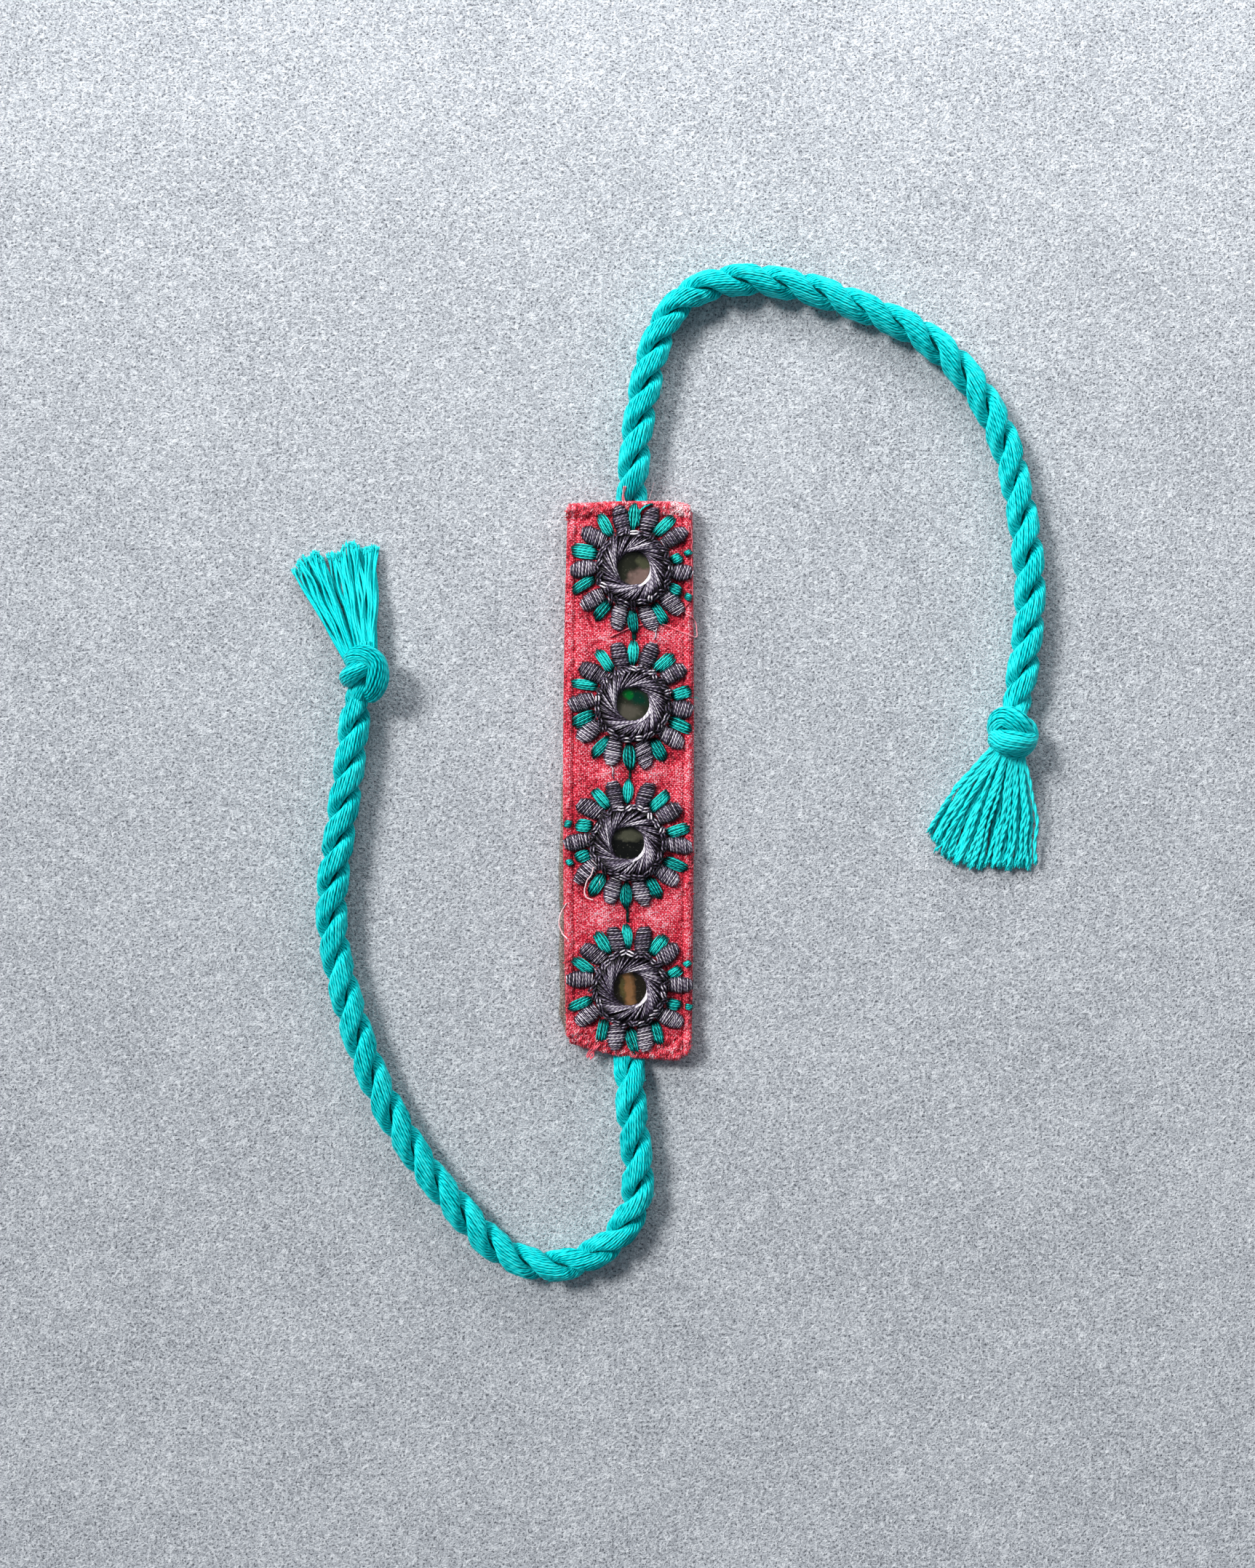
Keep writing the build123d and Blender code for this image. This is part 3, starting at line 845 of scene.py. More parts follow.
def slab(across, along, left, right, low, high, floor, top, relief, hole=None):
    """A closed cloth envelope over a grid of places, with rounded edges. hole is how far in from the sides
    and ends its underside stays open. The last value is how far each point stands above its level."""
    u, v = np.meshgrid(across, along, indexing="ij")
    s, t = u / across[-1], v / along[-1]
    x = left(t) + s * (right(t) - left(t))
    y = low(s) + t * (high(s) - low(s))
    from_side = np.minimum(u, across[-1] - u)
    from_end = np.minimum(v, along[-1] - v)
    side_gap = np.maximum(FOLD_ROUND - from_side, 0)
    end_gap = np.maximum(FOLD_ROUND - from_end, 0)
    gap = np.hypot(side_gap, end_gap)
    pull = np.where(gap > FOLD_ROUND, 1 - FOLD_ROUND / np.maximum(gap, 1e-9), 0)
    x += np.sign(across[-1] / 2 - u) * side_gap * pull
    y += np.sign(along[-1] / 2 - v) * end_gap * pull
    rise = fold_rise(gap)
    middle, half = (floor + top) / 2, (top - floor) / 2
    lift = relief(x, y, from_side, from_end, t)
    upper = np.stack([x, y, middle + half * rise + rise * lift], -1)
    lower = np.stack([x, y, middle - half * rise], -1)
    rows, columns = u.shape
    number = np.arange(rows * columns).reshape(rows, columns)
    under = number + rows * columns
    for side in (0, -1):
        under[side], under[:, side] = number[side], number[:, side]

    def quads(n):
        return np.stack([n[:-1, :-1], n[1:, :-1], n[1:, 1:], n[:-1, 1:]], -1).reshape(-1, 4)

    def corners(a):
        return np.stack([a[:-1, :-1], a[1:, :-1], a[1:, 1:], a[:-1, 1:]], 2).reshape(-1, 4)

    faces = np.concatenate([quads(number), quads(under)[:, ::-1]])
    plan = np.stack([corners(u), corners(v)], -1)
    uvs = np.concatenate([plan, plan[:, ::-1] * (-1, 1)])
    if hole is not None:
        deep = np.minimum(from_side - hole[0], from_end - hole[1])
        open_face = corners(deep).min(axis=1) > 0
        keep = np.concatenate([np.ones(len(open_face), bool), ~open_face])
        faces, uvs = faces[keep], uvs[keep]
    points = np.concatenate([upper.reshape(-1, 3), lower.reshape(-1, 3)])
    lifts = np.concatenate([lift.ravel(), np.zeros(lift.size)])
    used = np.unique(faces)
    renumber = np.zeros(len(points), int)
    renumber[used] = np.arange(len(used))
    return points[used], renumber[faces], uvs, lifts[used]


def ripple(x, y, seed, size, number=9):
    """Smooth unevenness of about the given size, from -1 to 1."""
    rng = np.random.default_rng(seed)
    total = np.zeros_like(x)
    for _ in range(number):
        heading = rng.uniform(0, TAU)
        stretch = TAU / (size * rng.uniform(0.7, 1.6))
        total += np.sin((x * math.cos(heading) + y * math.sin(heading)) * stretch + rng.uniform(0, TAU))
    return total / math.sqrt(number) / 1.4


MOTIF_CENTRES = [middle_mm(f"mirror_{k}") for k in (1, 2, 3, 4)]
PETAL_END = 10.2  # from a motif's centre to where the cloth puckers round its petals


def bell(distance, width):
    return np.exp(-((distance / width) ** 2))


def band_relief(x, y, from_side, from_end, t):
    """How far the band's cloth stands above or below its level: seams, hems, puckers and creases."""
    relief = 0.10 * ripple(x, y, 3, 5.0) + 0.05 * ripple(x, y, 4, 1.7)
    stitches = np.sin(TAU * y / SEAM_STITCH)
    groove = SEAM_DEPTH * (0.8 + 0.2 * stitches)
    relief -= groove * bell(from_side - SEAM_INSET, SEAM_WIDTH)
    relief += 0.14 * bell(from_side - 0.9, 0.5) * (1 + 0.5 * stitches)
    hem = np.where(t > 0.5, TOP_HEM, BOTTOM_HEM)
    inside = 1 / (1 + np.exp((from_end - hem) / 0.16))
    rough = ripple(x, y, 5, 1.3) * 0.13 + ripple(x, y, 6, 3.1) * 0.12
    relief += inside * (0.26 * np.sin(np.clip(from_end / hem, 0, 1) * math.pi) + rough)
    relief -= 0.34 * bell(from_end - hem - 0.12, 0.22)
    for cx, cy, _ in MOTIF_CENTRES:
        radius = np.hypot(x - cx, y - cy)
        angle = np.arctan2(y - cy, x - cx)
        ring = bell(radius - PETAL_END - 0.5, 1.6)
        relief += 0.17 * ring * np.cos(PUCKERS * angle + 0.7 * np.sin(3 * angle + cy))
        crease = np.cos(TAU * (radius - PETAL_END) / 1.5 + 1.5 * np.sin(2 * angle + cy))
        relief += 0.09 * crease * bell(radius - PETAL_END - 1.2, 1.8)
        relief -= 0.12 * bell(radius - 6, 3.5)
    return relief


def weave_material(name, stops, pitch, depth, worn):
    """Plain-woven cloth: each thread of one set passes over and under those of the other, with a painted
    highlight on its crowns and painted shade in its hollows. The tint is how pale a place is, from wear and
    painted light, and, third, how far it stands out, which paints shade in the grooves and a highlight on the
    ridges."""
    s = Shader(name)
    u, v = s.uv()
    pale, _, relief_shade = s.tint()
    waver = s.noise(s.place(), 1500.0)
    drift = s.noise(s.place(), 260.0)
    across = (waver * (pitch * 0.9) + (drift * (pitch * 2.2) + u)) / pitch
    along = (waver * (pitch * -0.7) + v) / pitch
    over = s.math("FRACT", (s.math("FLOOR", across) + s.math("FLOOR", along)) * 0.5) * 2.0
    fx, fy = s.math("FRACT", across) - 0.5, s.math("FRACT", along) - 0.5
    x2, y2 = fx * fx, fy * fy

    def crown(wide, long):
        return (wide * -3.4 + 1.0) * (long * -2.2 + 1.0)

    first, second = crown(x2, y2), crown(y2, x2)
    height = (first - second) * over + second
    fuzz = s.noise(s.place(), 3100.0, roughness=0.6)
    patch = s.noise(s.place(), 190.0, detail=4.0, roughness=0.6)
    # The weave's crowns are painted paler and its hollows darker: painted highlight and shade
    level = height * 0.44 + s.span(fuzz, 0.36, 0.64) * 0.72 + over * 0.24 + s.span(patch, 0.32, 0.68) * 0.15
    # Painted shade around the petals, near the seams and at the sides; paler between the motifs from wear and
    # a painted highlight
    level += s.span(pale, 0.0, 1.0, -0.44, 0.0)
    # Painted shade in the cloth's grooves and seams, painted highlight on its ridges
    level += s.span(relief_shade, 0.2, 0.8, -0.28, 0.12)
    rub = s.span(s.noise(s.place(), 1300.0, detail=3.0), 0.56, 0.74) * s.span(height, 0.35, 0.9)
    colour = s.blend(rub * 0.24, s.ramp(level, stops), rgba(worn))
    s.bump(height + fuzz * 0.35, depth, 0.9)
    return s.finish(colour, CLOTH_GLOSS)


CLOTH_GLOSS = {"Roughness": 0.85, "Sheen Weight": 0.12, "Sheen Roughness": 0.5, "Specular IOR Level": 0.2}
RED_STOPS = [(0.02, (112, 0, 24)), (0.27, (216, 22, 52)), (0.58, (255, 74, 97)), (0.98, (255, 198, 210))]
BACKING_STOPS = [(0.10, (84, 72, 70)), (0.50, (128, 116, 110)), (0.90, (176, 166, 158))]
red_cotton = weave_material("red_cotton", RED_STOPS, WEAVE, 0.12, (255, 214, 212))
grey_cloth = weave_material("grey_cloth", BACKING_STOPS, BACKING_WEAVE, 0.08, (206, 198, 190))


def wear_and_painted_light(points):
    """How pale the band is: deep red around the petals, near the seams and at the sides as painted shade, and
    pale between the motifs, partly wear and partly a painted highlight where the cloth bulges.
    """
    nearest = np.min([np.hypot(points[:, 0] - c[0], points[:, 1] - c[1]) for c in MOTIF_CENTRES], axis=0)
    side = BAND_WIDTH / 2 - np.abs(points[:, 0] - BAND_MIDDLE)
    pale = 0.52 - 0.42 * bell(nearest - 8.4, 2.3) + 0.16 * np.clip((nearest - 10.2) / 2.2, 0, 1)
    pale -= 0.16 * bell(side - 2.6, 0.8) + 0.46 * bell(side, 1.4)
    return np.clip(pale + 0.09 * ripple(points[:, 0], points[:, 1], 12, 4.0), 0, 1)


def make_band():
    """The band's cloth: one sheet folded round its sides and ends, open under its middle."""
    points, faces, uvs, lifts = slab(
        places(BAND_WIDTH, BAND_STEPS[0]),
        places(2 * BAND_REACH, BAND_STEPS[1]),
        lambda t: side_line(0, t),
        lambda t: side_line(-1, t),
        lambda s: -end_line(BOTTOM_END, s),
        lambda s: end_line(TOP_END, s),
        BACKING_TOP + 0.02,
        CLOTH_TOP,
        band_relief,
        (TURNED_IN, TURNED_IN_ENDS),
    )
    mesh = Mesh()
    # How far the cloth stands out, which the cloth material turns into painted shade and highlight
    relief_shade = np.clip(0.5 + 1.1 * lifts, 0, 1)
    mesh.add(points, faces, uvs, np.column_stack([wear_and_painted_light(points), 0 * relief_shade, relief_shade]))
    piece = mesh.build("band_cloth", [red_cotton], "red_cotton", ["band"])
    thick = piece.modifiers.new("thickness", "SOLIDIFY")
    thick.thickness = CLOTH_THICKNESS * MM
    thick.offset = -1
    thick.use_even_offset = False
    return piece


# The backing's left side, from the bottom up: the place along the band, as a share of its length, and how
# far out, from 0 where it is hidden to 1 where it shows most
BackingPoint = namedtuple("BackingPoint", "along out")
BACKING_SIDE = [
    BackingPoint(-0.455, 0.1),
    BackingPoint(-0.42, 0.97),
    BackingPoint(-0.12, 1.0),
    BackingPoint(0.05, 0.45),
    BackingPoint(0.47, 0.0),
]
BACKING_HIDDEN = 1.35  # from where the backing shows most to where it is hidden


def make_backing():
    """The cloth strip under the band, which shows past its left side."""
    low, high = backing_low, backing_high
    along = np.array([p.along for p in BACKING_SIDE]) * 2 * BAND_REACH
    out = np.array([p.out for p in BACKING_SIDE])

    def left(t):
        y = low[1] + t * (high[1] - low[1])
        wander = 0.07 * np.sin(y / 1.9) + 0.05 * np.sin(y / 0.7)
        return low[0] + BACKING_HIDDEN * (1 - np.interp(y, along, out)) + wander

    points, faces, uvs, _ = slab(
        places(high[0] - low[0], BACKING_STEP),
        places(high[1] - low[1], BACKING_STEP),
        left,
        lambda t: np.full_like(t, high[0]),
        lambda s: np.full_like(s, low[1]),
        lambda s: np.full_like(s, high[1]),
        low[2] + 0.01,
        high[2] - 0.04,
        lambda x, y, *_: 0.03 * ripple(x, y, 8, 2.5),
    )
    mesh = Mesh()
    mesh.add(points, faces, uvs, (0.5, 0.0, 0.5))
    return mesh.build("backing_cloth", [grey_cloth], "backing_cloth", ["backing"])


def edge_gaps(x, y):
    """How far in a place is from the band's nearer side, and from its nearer end."""
    share = np.clip((x - BAND_MIDDLE) / BAND_WIDTH + 0.5, 0, 1)
    end = np.where(y > 0, end_line(TOP_END, share) - y, y + end_line(BOTTOM_END, share))
    return BAND_WIDTH / 2 - np.abs(x - BAND_MIDDLE), end


def cloth_height(x, y):
    """Roughly how high the band's cloth lies at a place."""
    side, end = edge_gaps(x, y)
    gap = np.hypot(np.maximum(FOLD_ROUND - side, 0), np.maximum(FOLD_ROUND - end, 0))
    rise = fold_rise(gap)
    middle, half = (BACKING_TOP + CLOTH_TOP) / 2, (CLOTH_TOP - BACKING_TOP) / 2
    relief = band_relief(x, y, np.maximum(side, 0), np.maximum(end, 0), y / (2 * BAND_REACH) + 0.5)
    return middle + half * rise + rise * relief


# How many fibres lie on each hem and along the sides
TOP_FIBRES = 900
BOTTOM_FIBRES = 1300
SIDE_FIBRES = 260
FRAY_RADIUS = 0.075
PALE_CORNER = (8.7, 42.6)  # where the top hem is frayed nearly white


def make_fray():
    """Loose and broken fibres of the cloth on both hems and, a few, along the sides."""
    rng = np.random.default_rng(31)
    fibres, tints = [], []

    def strand(x, y, heading, reach, lift, tint):
        s = np.linspace(0, 1, 6)
        curl = rng.normal(0, 1.1)
        turn = heading + curl * (s - 0.5)
        line_x = x + reach * np.cos(turn) * (s - 0.5)
        line_y = y + reach * np.sin(turn) * (s - 0.5)
        level = cloth_height(line_x, line_y)
        height = np.maximum(level - 0.03 + lift * np.sin(math.pi * s), 0.1)
        fibres.append(np.stack([line_x, line_y, height], 1))
        tints.append(tint)

    for end, hem, number in ((1, TOP_HEM, TOP_FIBRES), (-1, BOTTOM_HEM, BOTTOM_FIBRES)):
        for _ in range(number):
            share = rng.uniform(0.01, 0.99)
            edge = end_line(TOP_END if end > 0 else BOTTOM_END, share)
            x = BAND_MIDDLE + (share - 0.5) * BAND_WIDTH * 0.965
            inward = 0.25 + (hem - 0.25) * rng.uniform(0, 1) ** 1.1
            y = end * (edge - inward)
            clump = 0.3 * ripple(np.array(x), np.array(y), 14, 1.6)
            corner = bell(math.hypot(x - PALE_CORNER[0], y - PALE_CORNER[1]), 2.0)
            pale = rng.beta(1.6, 2.4) + clump + 0.85 * (end > 0) * corner
            reach = rng.uniform(0.4, 1.1)
            strand(x, y, rng.normal(math.pi / 2, 0.7), reach, rng.uniform(0.03, 0.24), np.clip(pale, 0, 1))
    for _ in range(SIDE_FIBRES):
        side = rng.choice([-1, 1])
        y = rng.uniform(-38, 41)
        x = side_line(0 if side < 0 else -1, y / (2 * BAND_REACH) + 0.5) - side * rng.uniform(0.0, 1.2)
        strand(x, y, rng.uniform(0, math.pi), rng.uniform(0.2, 0.6), rng.uniform(0.03, 0.12), rng.beta(2, 3))
    mesh = Mesh()
    mesh.tubes(fibres, FRAY_RADIUS * np.array([0.5, 0.85, 1.0, 1.0, 0.85, 0.5]), 3, tints)
    return mesh.build("hem_fray", [fray_material], "red_cotton")


def fray_shader():
    """Broken fibres: each has its own tint, from deep red to nearly white."""
    s = Shader("fray")
    tint, _, _ = s.tint()
    mottle = s.noise(s.place(), 1900.0)
    s.bump(mottle, 0.02, 0.6)
    level = s.span(mottle, 0.3, 0.7) * 0.2 + tint * 0.85
    gloss = {"Roughness": 0.85, "Sheen Weight": 0.15, "Specular IOR Level": 0.2}
    return s.finish(s.ramp(level, FRAY_STOPS), gloss)


fray_material = fray_shader()
band = make_band()
backing = make_backing()
fray = make_fray()


# Mirrors

# What each mirror reflects: a ground, and soft patches over it, each about a place x, y from its middle
Patch = namedtuple("Patch", "x y wide high turn colour")
MIRROR_GROUNDS = [(58, 60, 48), (62, 66, 52), (28, 30, 28), (52, 46, 36)]
MIRROR_PATCHES = [
    [Patch(1.2, -1.5, 2.6, 1.7, 35, (172, 140, 130)), Patch(1.5, 0.9, 1.2, 0.8, -30, (110, 112, 84))],
    [
        Patch(-0.7, -1.3, 2.0, 1.3, 0, (118, 112, 98)),
        Patch(0.7, 1.0, 1.7, 1.1, -25, (8, 78, 58)),
        Patch(-0.8, 1.6, 0.9, 0.7, -20, (0, 150, 62)),
    ],
    [Patch(0.2, 1.2, 2.4, 0.9, 0, (112, 112, 92)), Patch(-1.0, 2.0, 0.8, 0.5, 0, (64, 62, 48))],
    [Patch(-0.2, 0.0, 0.9, 4.0, 4, (186, 134, 88)), Patch(-1.2, 0.3, 0.5, 2.0, 4, (116, 104, 62))],
]


def mirror_material(number, centre):
    """Small old mirror with specks, and a painted reflection: a dark ground with soft patches over it."""
    s = Shader(f"mirror_{number + 1}")
    x, y, _ = s.parts(s.place())
    blur = (s.noise(s.place(), 900.0, detail=3.0) - 0.5) * 0.0016
    x += blur
    y -= blur
    colour = rgba(MIRROR_GROUNDS[number])
    for patch in MIRROR_PATCHES[number]:
        cosine, sine = math.cos(math.radians(patch.turn)), math.sin(math.radians(patch.turn))
        from_x, from_y = x - (centre[0] + patch.x) * MM, y - (centre[1] + patch.y) * MM
        ahead = (from_x * cosine + from_y * sine) / (patch.wide * MM)
        aside = (from_y * cosine - from_x * sine) / (patch.high * MM)
        far = s.math("SQRT", ahead * ahead + aside * aside)
        colour = s.blend(s.span(far, 0.55, 1.25, 1.0, 0.0), colour, rgba(patch.colour))
    speck = s.span(s.noise(s.place(), 2600.0), 0.62, 0.70)
    colour = s.blend(speck * 0.22, colour, rgba((186, 180, 160)))
    smear = s.span(s.noise(s.place(), 900.0, detail=3.0), 0.35, 0.75, 0.08, 0.35)
    s.bump(s.noise(s.place(), 150.0, detail=1.0), 0.03, 0.3)
    return s.finish(colour, {"Metallic": 0.6, "Roughness": smear, "Specular IOR Level": 0.5})


# Embroidery

HOLE_RADIUS = 2.65
SWIRL_END = 5.4
SWIRL_THREADS = 84
COLLAR_SEGMENTS = 64
SWIRL_UNDER = 1.3  # how far a thread starts back under its neighbours
FANS = 4  # the threads bunch together towards this many places round the hole
EDGE_THREADS = 5
EDGE_THREAD = 0.115
THREAD = 0.14  # the radius of the embroidery thread
mirror_top = box_mm("mirror_1")[1][2]

# The collar's height above the cloth at each radius
CollarPoint = namedtuple("CollarPoint", "radius height")
COLLAR = [
    CollarPoint(2.40, 0.95),
    CollarPoint(2.65, 1.25),
    CollarPoint(3.00, 1.60),
    CollarPoint(3.60, 1.82),
    CollarPoint(4.20, 1.84),
    CollarPoint(4.90, 1.66),
    CollarPoint(5.40, 1.36),
    CollarPoint(5.80, 0.95),
    CollarPoint(6.20, 0.20),
]


def collar_height(radius):
    return CLOTH_TOP + np.interp(radius, [p.radius for p in COLLAR], [p.height for p in COLLAR])


def polar(angle):
    return np.stack([np.cos(angle), np.sin(angle)], -1)


def add_swirl(mesh, centre, rng):
    """Threads tangent to the hole, each from under its neighbours out over the collar."""
    t = np.linspace(0, 1, 20)
    paths, tints = [], []
    lap = math.acos(HOLE_RADIUS / SWIRL_END)
    for k in range(SWIRL_THREADS):
        angle = TAU * (k + rng.uniform(-0.28, 0.28)) / SWIRL_THREADS
        bunch = 0.17 * math.sin(FANS * angle + 1.2) + 0.03 * math.sin(13 * angle + centre[1])
        hole = (HOLE_RADIUS + rng.uniform(-0.06, 0.30)) * polar(angle + bunch)
        spread = 0.13 * math.sin(FANS * angle + 2.6)
        rim = SWIRL_END * rng.uniform(0.98, 1.04) * polar(angle - lap + spread + rng.normal(0, 0.03))
        ahead = unit(rim - hole)
        start = hole - SWIRL_UNDER * ahead
        spot = start + (rim - start) * t[:, None]
        # A thread leaves the straight line a little as it rounds the collar
        spot += polar(angle) * (0.12 * np.sin(math.pi * t))[:, None]
        radius = np.linalg.norm(spot, axis=1)
        under = np.clip(np.linalg.norm(spot - start, axis=1) / 2.7, 0, 1)
        under = under * under * (3 - 2 * under)
        heap = math.sin(FANS * angle + 0.4)
        top = collar_height(radius) + THREAD * 0.8 + rng.uniform(-0.05, 0.16) + 0.13 * heap
        height = (mirror_top + THREAD) * (1 - under) + top * under
        height -= 0.30 * np.clip((t - 0.9) / 0.1, 0, 1)
        paths.append(np.column_stack([centre[:2] + spot, height]))
        # The threads at the hole's lower right face the window and look pale
        from_pale = (angle + 0.5 + math.pi) % TAU - math.pi
        # Painted light: threads high on a fan's heap are tinted paler, those low between the fans darker
        tints.append(rng.beta(0.8, 0.8) + 0.18 * heap + 0.2 * bell(from_pale, 0.34))
    radii = THREAD * rng.uniform(0.85, 1.15, (SWIRL_THREADS, 1))
    mesh.tubes(paths, radii, 5, tints)


def add_edge(mesh, centre, rng):
    """Threads that follow the hole's right side down and leave it towards the lower left, tinted pale as a
    painted highlight where they face the light.
    """
    paths = []
    for k in range(EDGE_THREADS):
        radius = HOLE_RADIUS + 0.02 + 0.085 * k
        first, last = math.radians(rng.uniform(8, 34)), math.radians(-42 - 11 * k + rng.uniform(-5, 5))
        arc = radius * polar(np.linspace(first, last, 16))
        away = np.array([math.sin(last), -math.cos(last)])
        tail = arc[-1] + away * np.linspace(0.3, rng.uniform(2.2, 3.2), 8)[:, None]
        spot = np.vstack([arc, tail])
        top = collar_height(np.linalg.norm(spot, axis=1)) + 0.16
        top[0] -= 0.3
        top[-1] -= 0.3
        paths.append(np.column_stack([centre[:2] + spot, top]))
    mesh.tubes(paths, EDGE_THREAD, 5, rng.uniform(1.2, 1.9, EDGE_THREADS))


def add_collar_core(mesh, centre):
    """The wound padding under the threads, in a dark core colour: painted shade in the gaps between them."""
    radii = np.array([2.82, 2.90, 3.1, 3.7, 4.3, 4.9, 5.4, 5.8, 6.05])
    heights = collar_height(radii) - 0.20
    heights[0] = mirror_top + 0.02
    heights[-1] = CLOTH_TOP - 0.25
    angle = TAU * np.arange(COLLAR_SEGMENTS) / COLLAR_SEGMENTS
    plan = radii[:, None, None] * polar(angle)[None]
    level = np.broadcast_to(heights[:, None, None], (len(radii), COLLAR_SEGMENTS, 1))
    points = np.concatenate([plan + centre[:2], level], axis=2)
    ring, side = np.meshgrid(range(len(radii) - 1), range(COLLAR_SEGMENTS), indexing="ij")
    near, far = ring * COLLAR_SEGMENTS, (ring + 1) * COLLAR_SEGMENTS
    following = (side + 1) % COLLAR_SEGMENTS
    quads = np.stack([near + side, far + side, far + following, near + following], -1).reshape(-1, 4)
    mesh.add(points, quads, np.zeros((len(quads), 4, 2)), (0.5, 0.0, 1.0), 1)


CHAIN_STITCHES = 36
CHAIN_RADIUS = 5.60
CHAIN_APART = 0.17  # half the gap between a stitch's two threads
CHAIN_THREAD = 0.165
TOP_STITCH = 1.54  # the angle of the pale stitch at the top of each collar


def add_chain(mesh, centre, rng):
    """Short doubled stitches round the collar's foot."""
    t = np.linspace(0, 1, 8)
    paths, tints = [], []
    for k in range(CHAIN_STITCHES):
        angle = TAU * (k + rng.uniform(-0.22, 0.22)) / CHAIN_STITCHES
        radius = CHAIN_RADIUS + rng.uniform(-0.30, 0.35)
        slant = rng.normal(0, 0.6)
        length = rng.uniform(1.05, 1.6)
        heading = np.array([-math.sin(angle), math.cos(angle)])
        outward = polar(angle)
        ahead = heading * math.cos(slant) + outward * math.sin(slant)
        beside = np.array([-ahead[1], ahead[0]])
        tint = rng.uniform(0.0, 0.8) + (0.9 if rng.uniform() < 0.14 else 0)
        tint += 1.1 * bell(angle - TOP_STITCH, 0.08)
        for offset in (-CHAIN_APART, CHAIN_APART):
            bow = 0.08 * np.sin(math.pi * t) * np.sign(offset)
            spot = outward * radius + ahead * ((t - 0.5) * length)[:, None] + beside * (offset + bow)[:, None]
            reach = np.linalg.norm(spot, axis=1)
            height = collar_height(np.clip(reach, 5.2, 6.0)) + 0.34 * np.sin(math.pi * t) + 0.06
            paths.append(np.column_stack([centre[:2] + spot, height]))
            tints.append(tint)
    mesh.tubes(paths, CHAIN_THREAD, 6, tints)


def room(centre, angle, reach, inset):
    """How far a stitch at this angle may reach from the motif's centre before it leaves the cloth."""
    for radius in np.arange(reach, LEAST_REACH, -0.1):
        if min(edge_gaps(*(centre[:2] + radius * polar(angle)))) > inset:
            return radius
    return LEAST_REACH


LEAST_REACH = 6.5
PETAL_START = 6.0
PETAL_REACH = 10.15
PETAL_WIDTH = 2.62
PETAL_HEIGHT = 1.0
PETAL_LAY = 0.24  # from one wrap of thread to the next
PETAL_THREAD = 0.125
RAY_START = 5.95
RAY_END = 10.4
UPRIGHT_RAY_END = 10.5
RAY_HEIGHT = 0.55
RAY_STRAND = 0.125
CUT = 8.5  # how far from the band's middle the seam breaks a ray
CUT_GAP = 0.35
DOT_SHARE = 0.55  # the width of a ray past the seam, as a share of its own


def stitch_base(spot):
    """The level a stitch stands on: the cloth's, but it bridges the seams and doesn't climb the hems."""
    return np.clip(cloth_height(spot[:, 0], spot[:, 1]), CLOTH_TOP - 0.10, CLOTH_TOP + 0.15)


def petal_width(s, point):
    """The share of a petal's width at each share of its length. point is 0 for round and 1 for a spindle."""
    base = 0.70 - 0.22 * point
    body = base + (1 - base) * np.sin(np.clip(s / 0.62, 0, 1) * math.pi / 2)
    tip = np.sqrt(np.clip(1 - (np.clip(s - 0.66, 0, 1) / 0.37) ** 2, 0.02, 1))
    return body * (tip * (1 - point) + np.sqrt(tip) * point * (1.45 - 0.75 * s))


def petal_height(s):
    return np.sqrt(np.clip(1 - ((s - 0.5) / 0.57) ** 2, 0.03, 1))


def stripes(rng, number):
    """Tints for threads side by side: a paler and a darker one in turn, each by its own amount."""
    return 0.5 + 0.6 * (-1.0) ** np.arange(number) * rng.uniform(0.15, 1.0, number)


def leaf(centre, angle, turn, near, far):
    """Where a leaf of stitches starts, and the directions along it and across it. It lies from near to far
    from the motif's centre, and is turned about its own middle."""
    ahead, beside = polar(angle + turn), polar(angle + turn + math.pi / 2)
    return centre[:2] + (near + far) / 2 * polar(angle) - ahead * (far - near) / 2, ahead, beside


def add_petal(mesh, centre, angle, turn, rng):
    """A padded leaf of threads laid side by side across it."""
    end = room(centre, angle, PETAL_REACH + rng.uniform(-0.15, 0.2), 0.15)
    length = end - PETAL_START
    if length < 0.8:
        return
    start, ahead, beside = leaf(centre, angle, turn, PETAL_START, end)
    wraps = max(int(length / PETAL_LAY), 4)
    point = rng.uniform(0.1, 0.7)
    slant = rng.uniform(-0.28, 0.28)
    width = PETAL_WIDTH / 2 * rng.uniform(0.94, 1.08)
    arch = np.radians(np.linspace(-100, 100, 13))
    crest = np.column_stack([beside * np.sin(arch)[:, None], np.cos(arch)])
    paths = []
    for k in range(wraps):
        s = (k + 0.5 + rng.uniform(-0.22, 0.22)) / wraps
        half = width * petal_width(s, point) * rng.uniform(0.94, 1.06)
        high = PETAL_HEIGHT * petal_height(s) + rng.uniform(-0.03, 0.07)
        across = half * np.sin(arch)
        shift = s * length + slant * across + 0.05 * np.sin(arch * 2 + k)
        spot = start + ahead * shift[:, None] + beside * across[:, None]
        paths.append(np.column_stack([spot, stitch_base(spot) + high * np.cos(arch)]))
    # Here and there a wrap is thin, and a dark gap shows beside it
    radii = PETAL_THREAD * np.where(rng.uniform(size=wraps) < 0.12, 0.5, 1.0)
    # Painted light: petals on the motif's upper side are tinted darker and those on its lower side paler
    tints = stripes(rng, wraps) - 0.24 * math.sin(angle)
    mesh.tubes(paths, radii[:, None], 5, tints, crest=crest)
    # The padding under the wraps wears the dark core colour: painted shade in the gaps between them
    s = np.linspace(0.03, 0.97, 12)
    core = start + ahead * (s * length)[:, None]
    level = np.full(12, CLOTH_TOP - 0.04)
    radii = width * petal_width(s, point) * 0.9
    flat = PETAL_HEIGHT * 0.84 / (PETAL_WIDTH / 2)
    mesh.tubes(np.column_stack([core, level])[None], radii, 12, material=1, flat=flat)


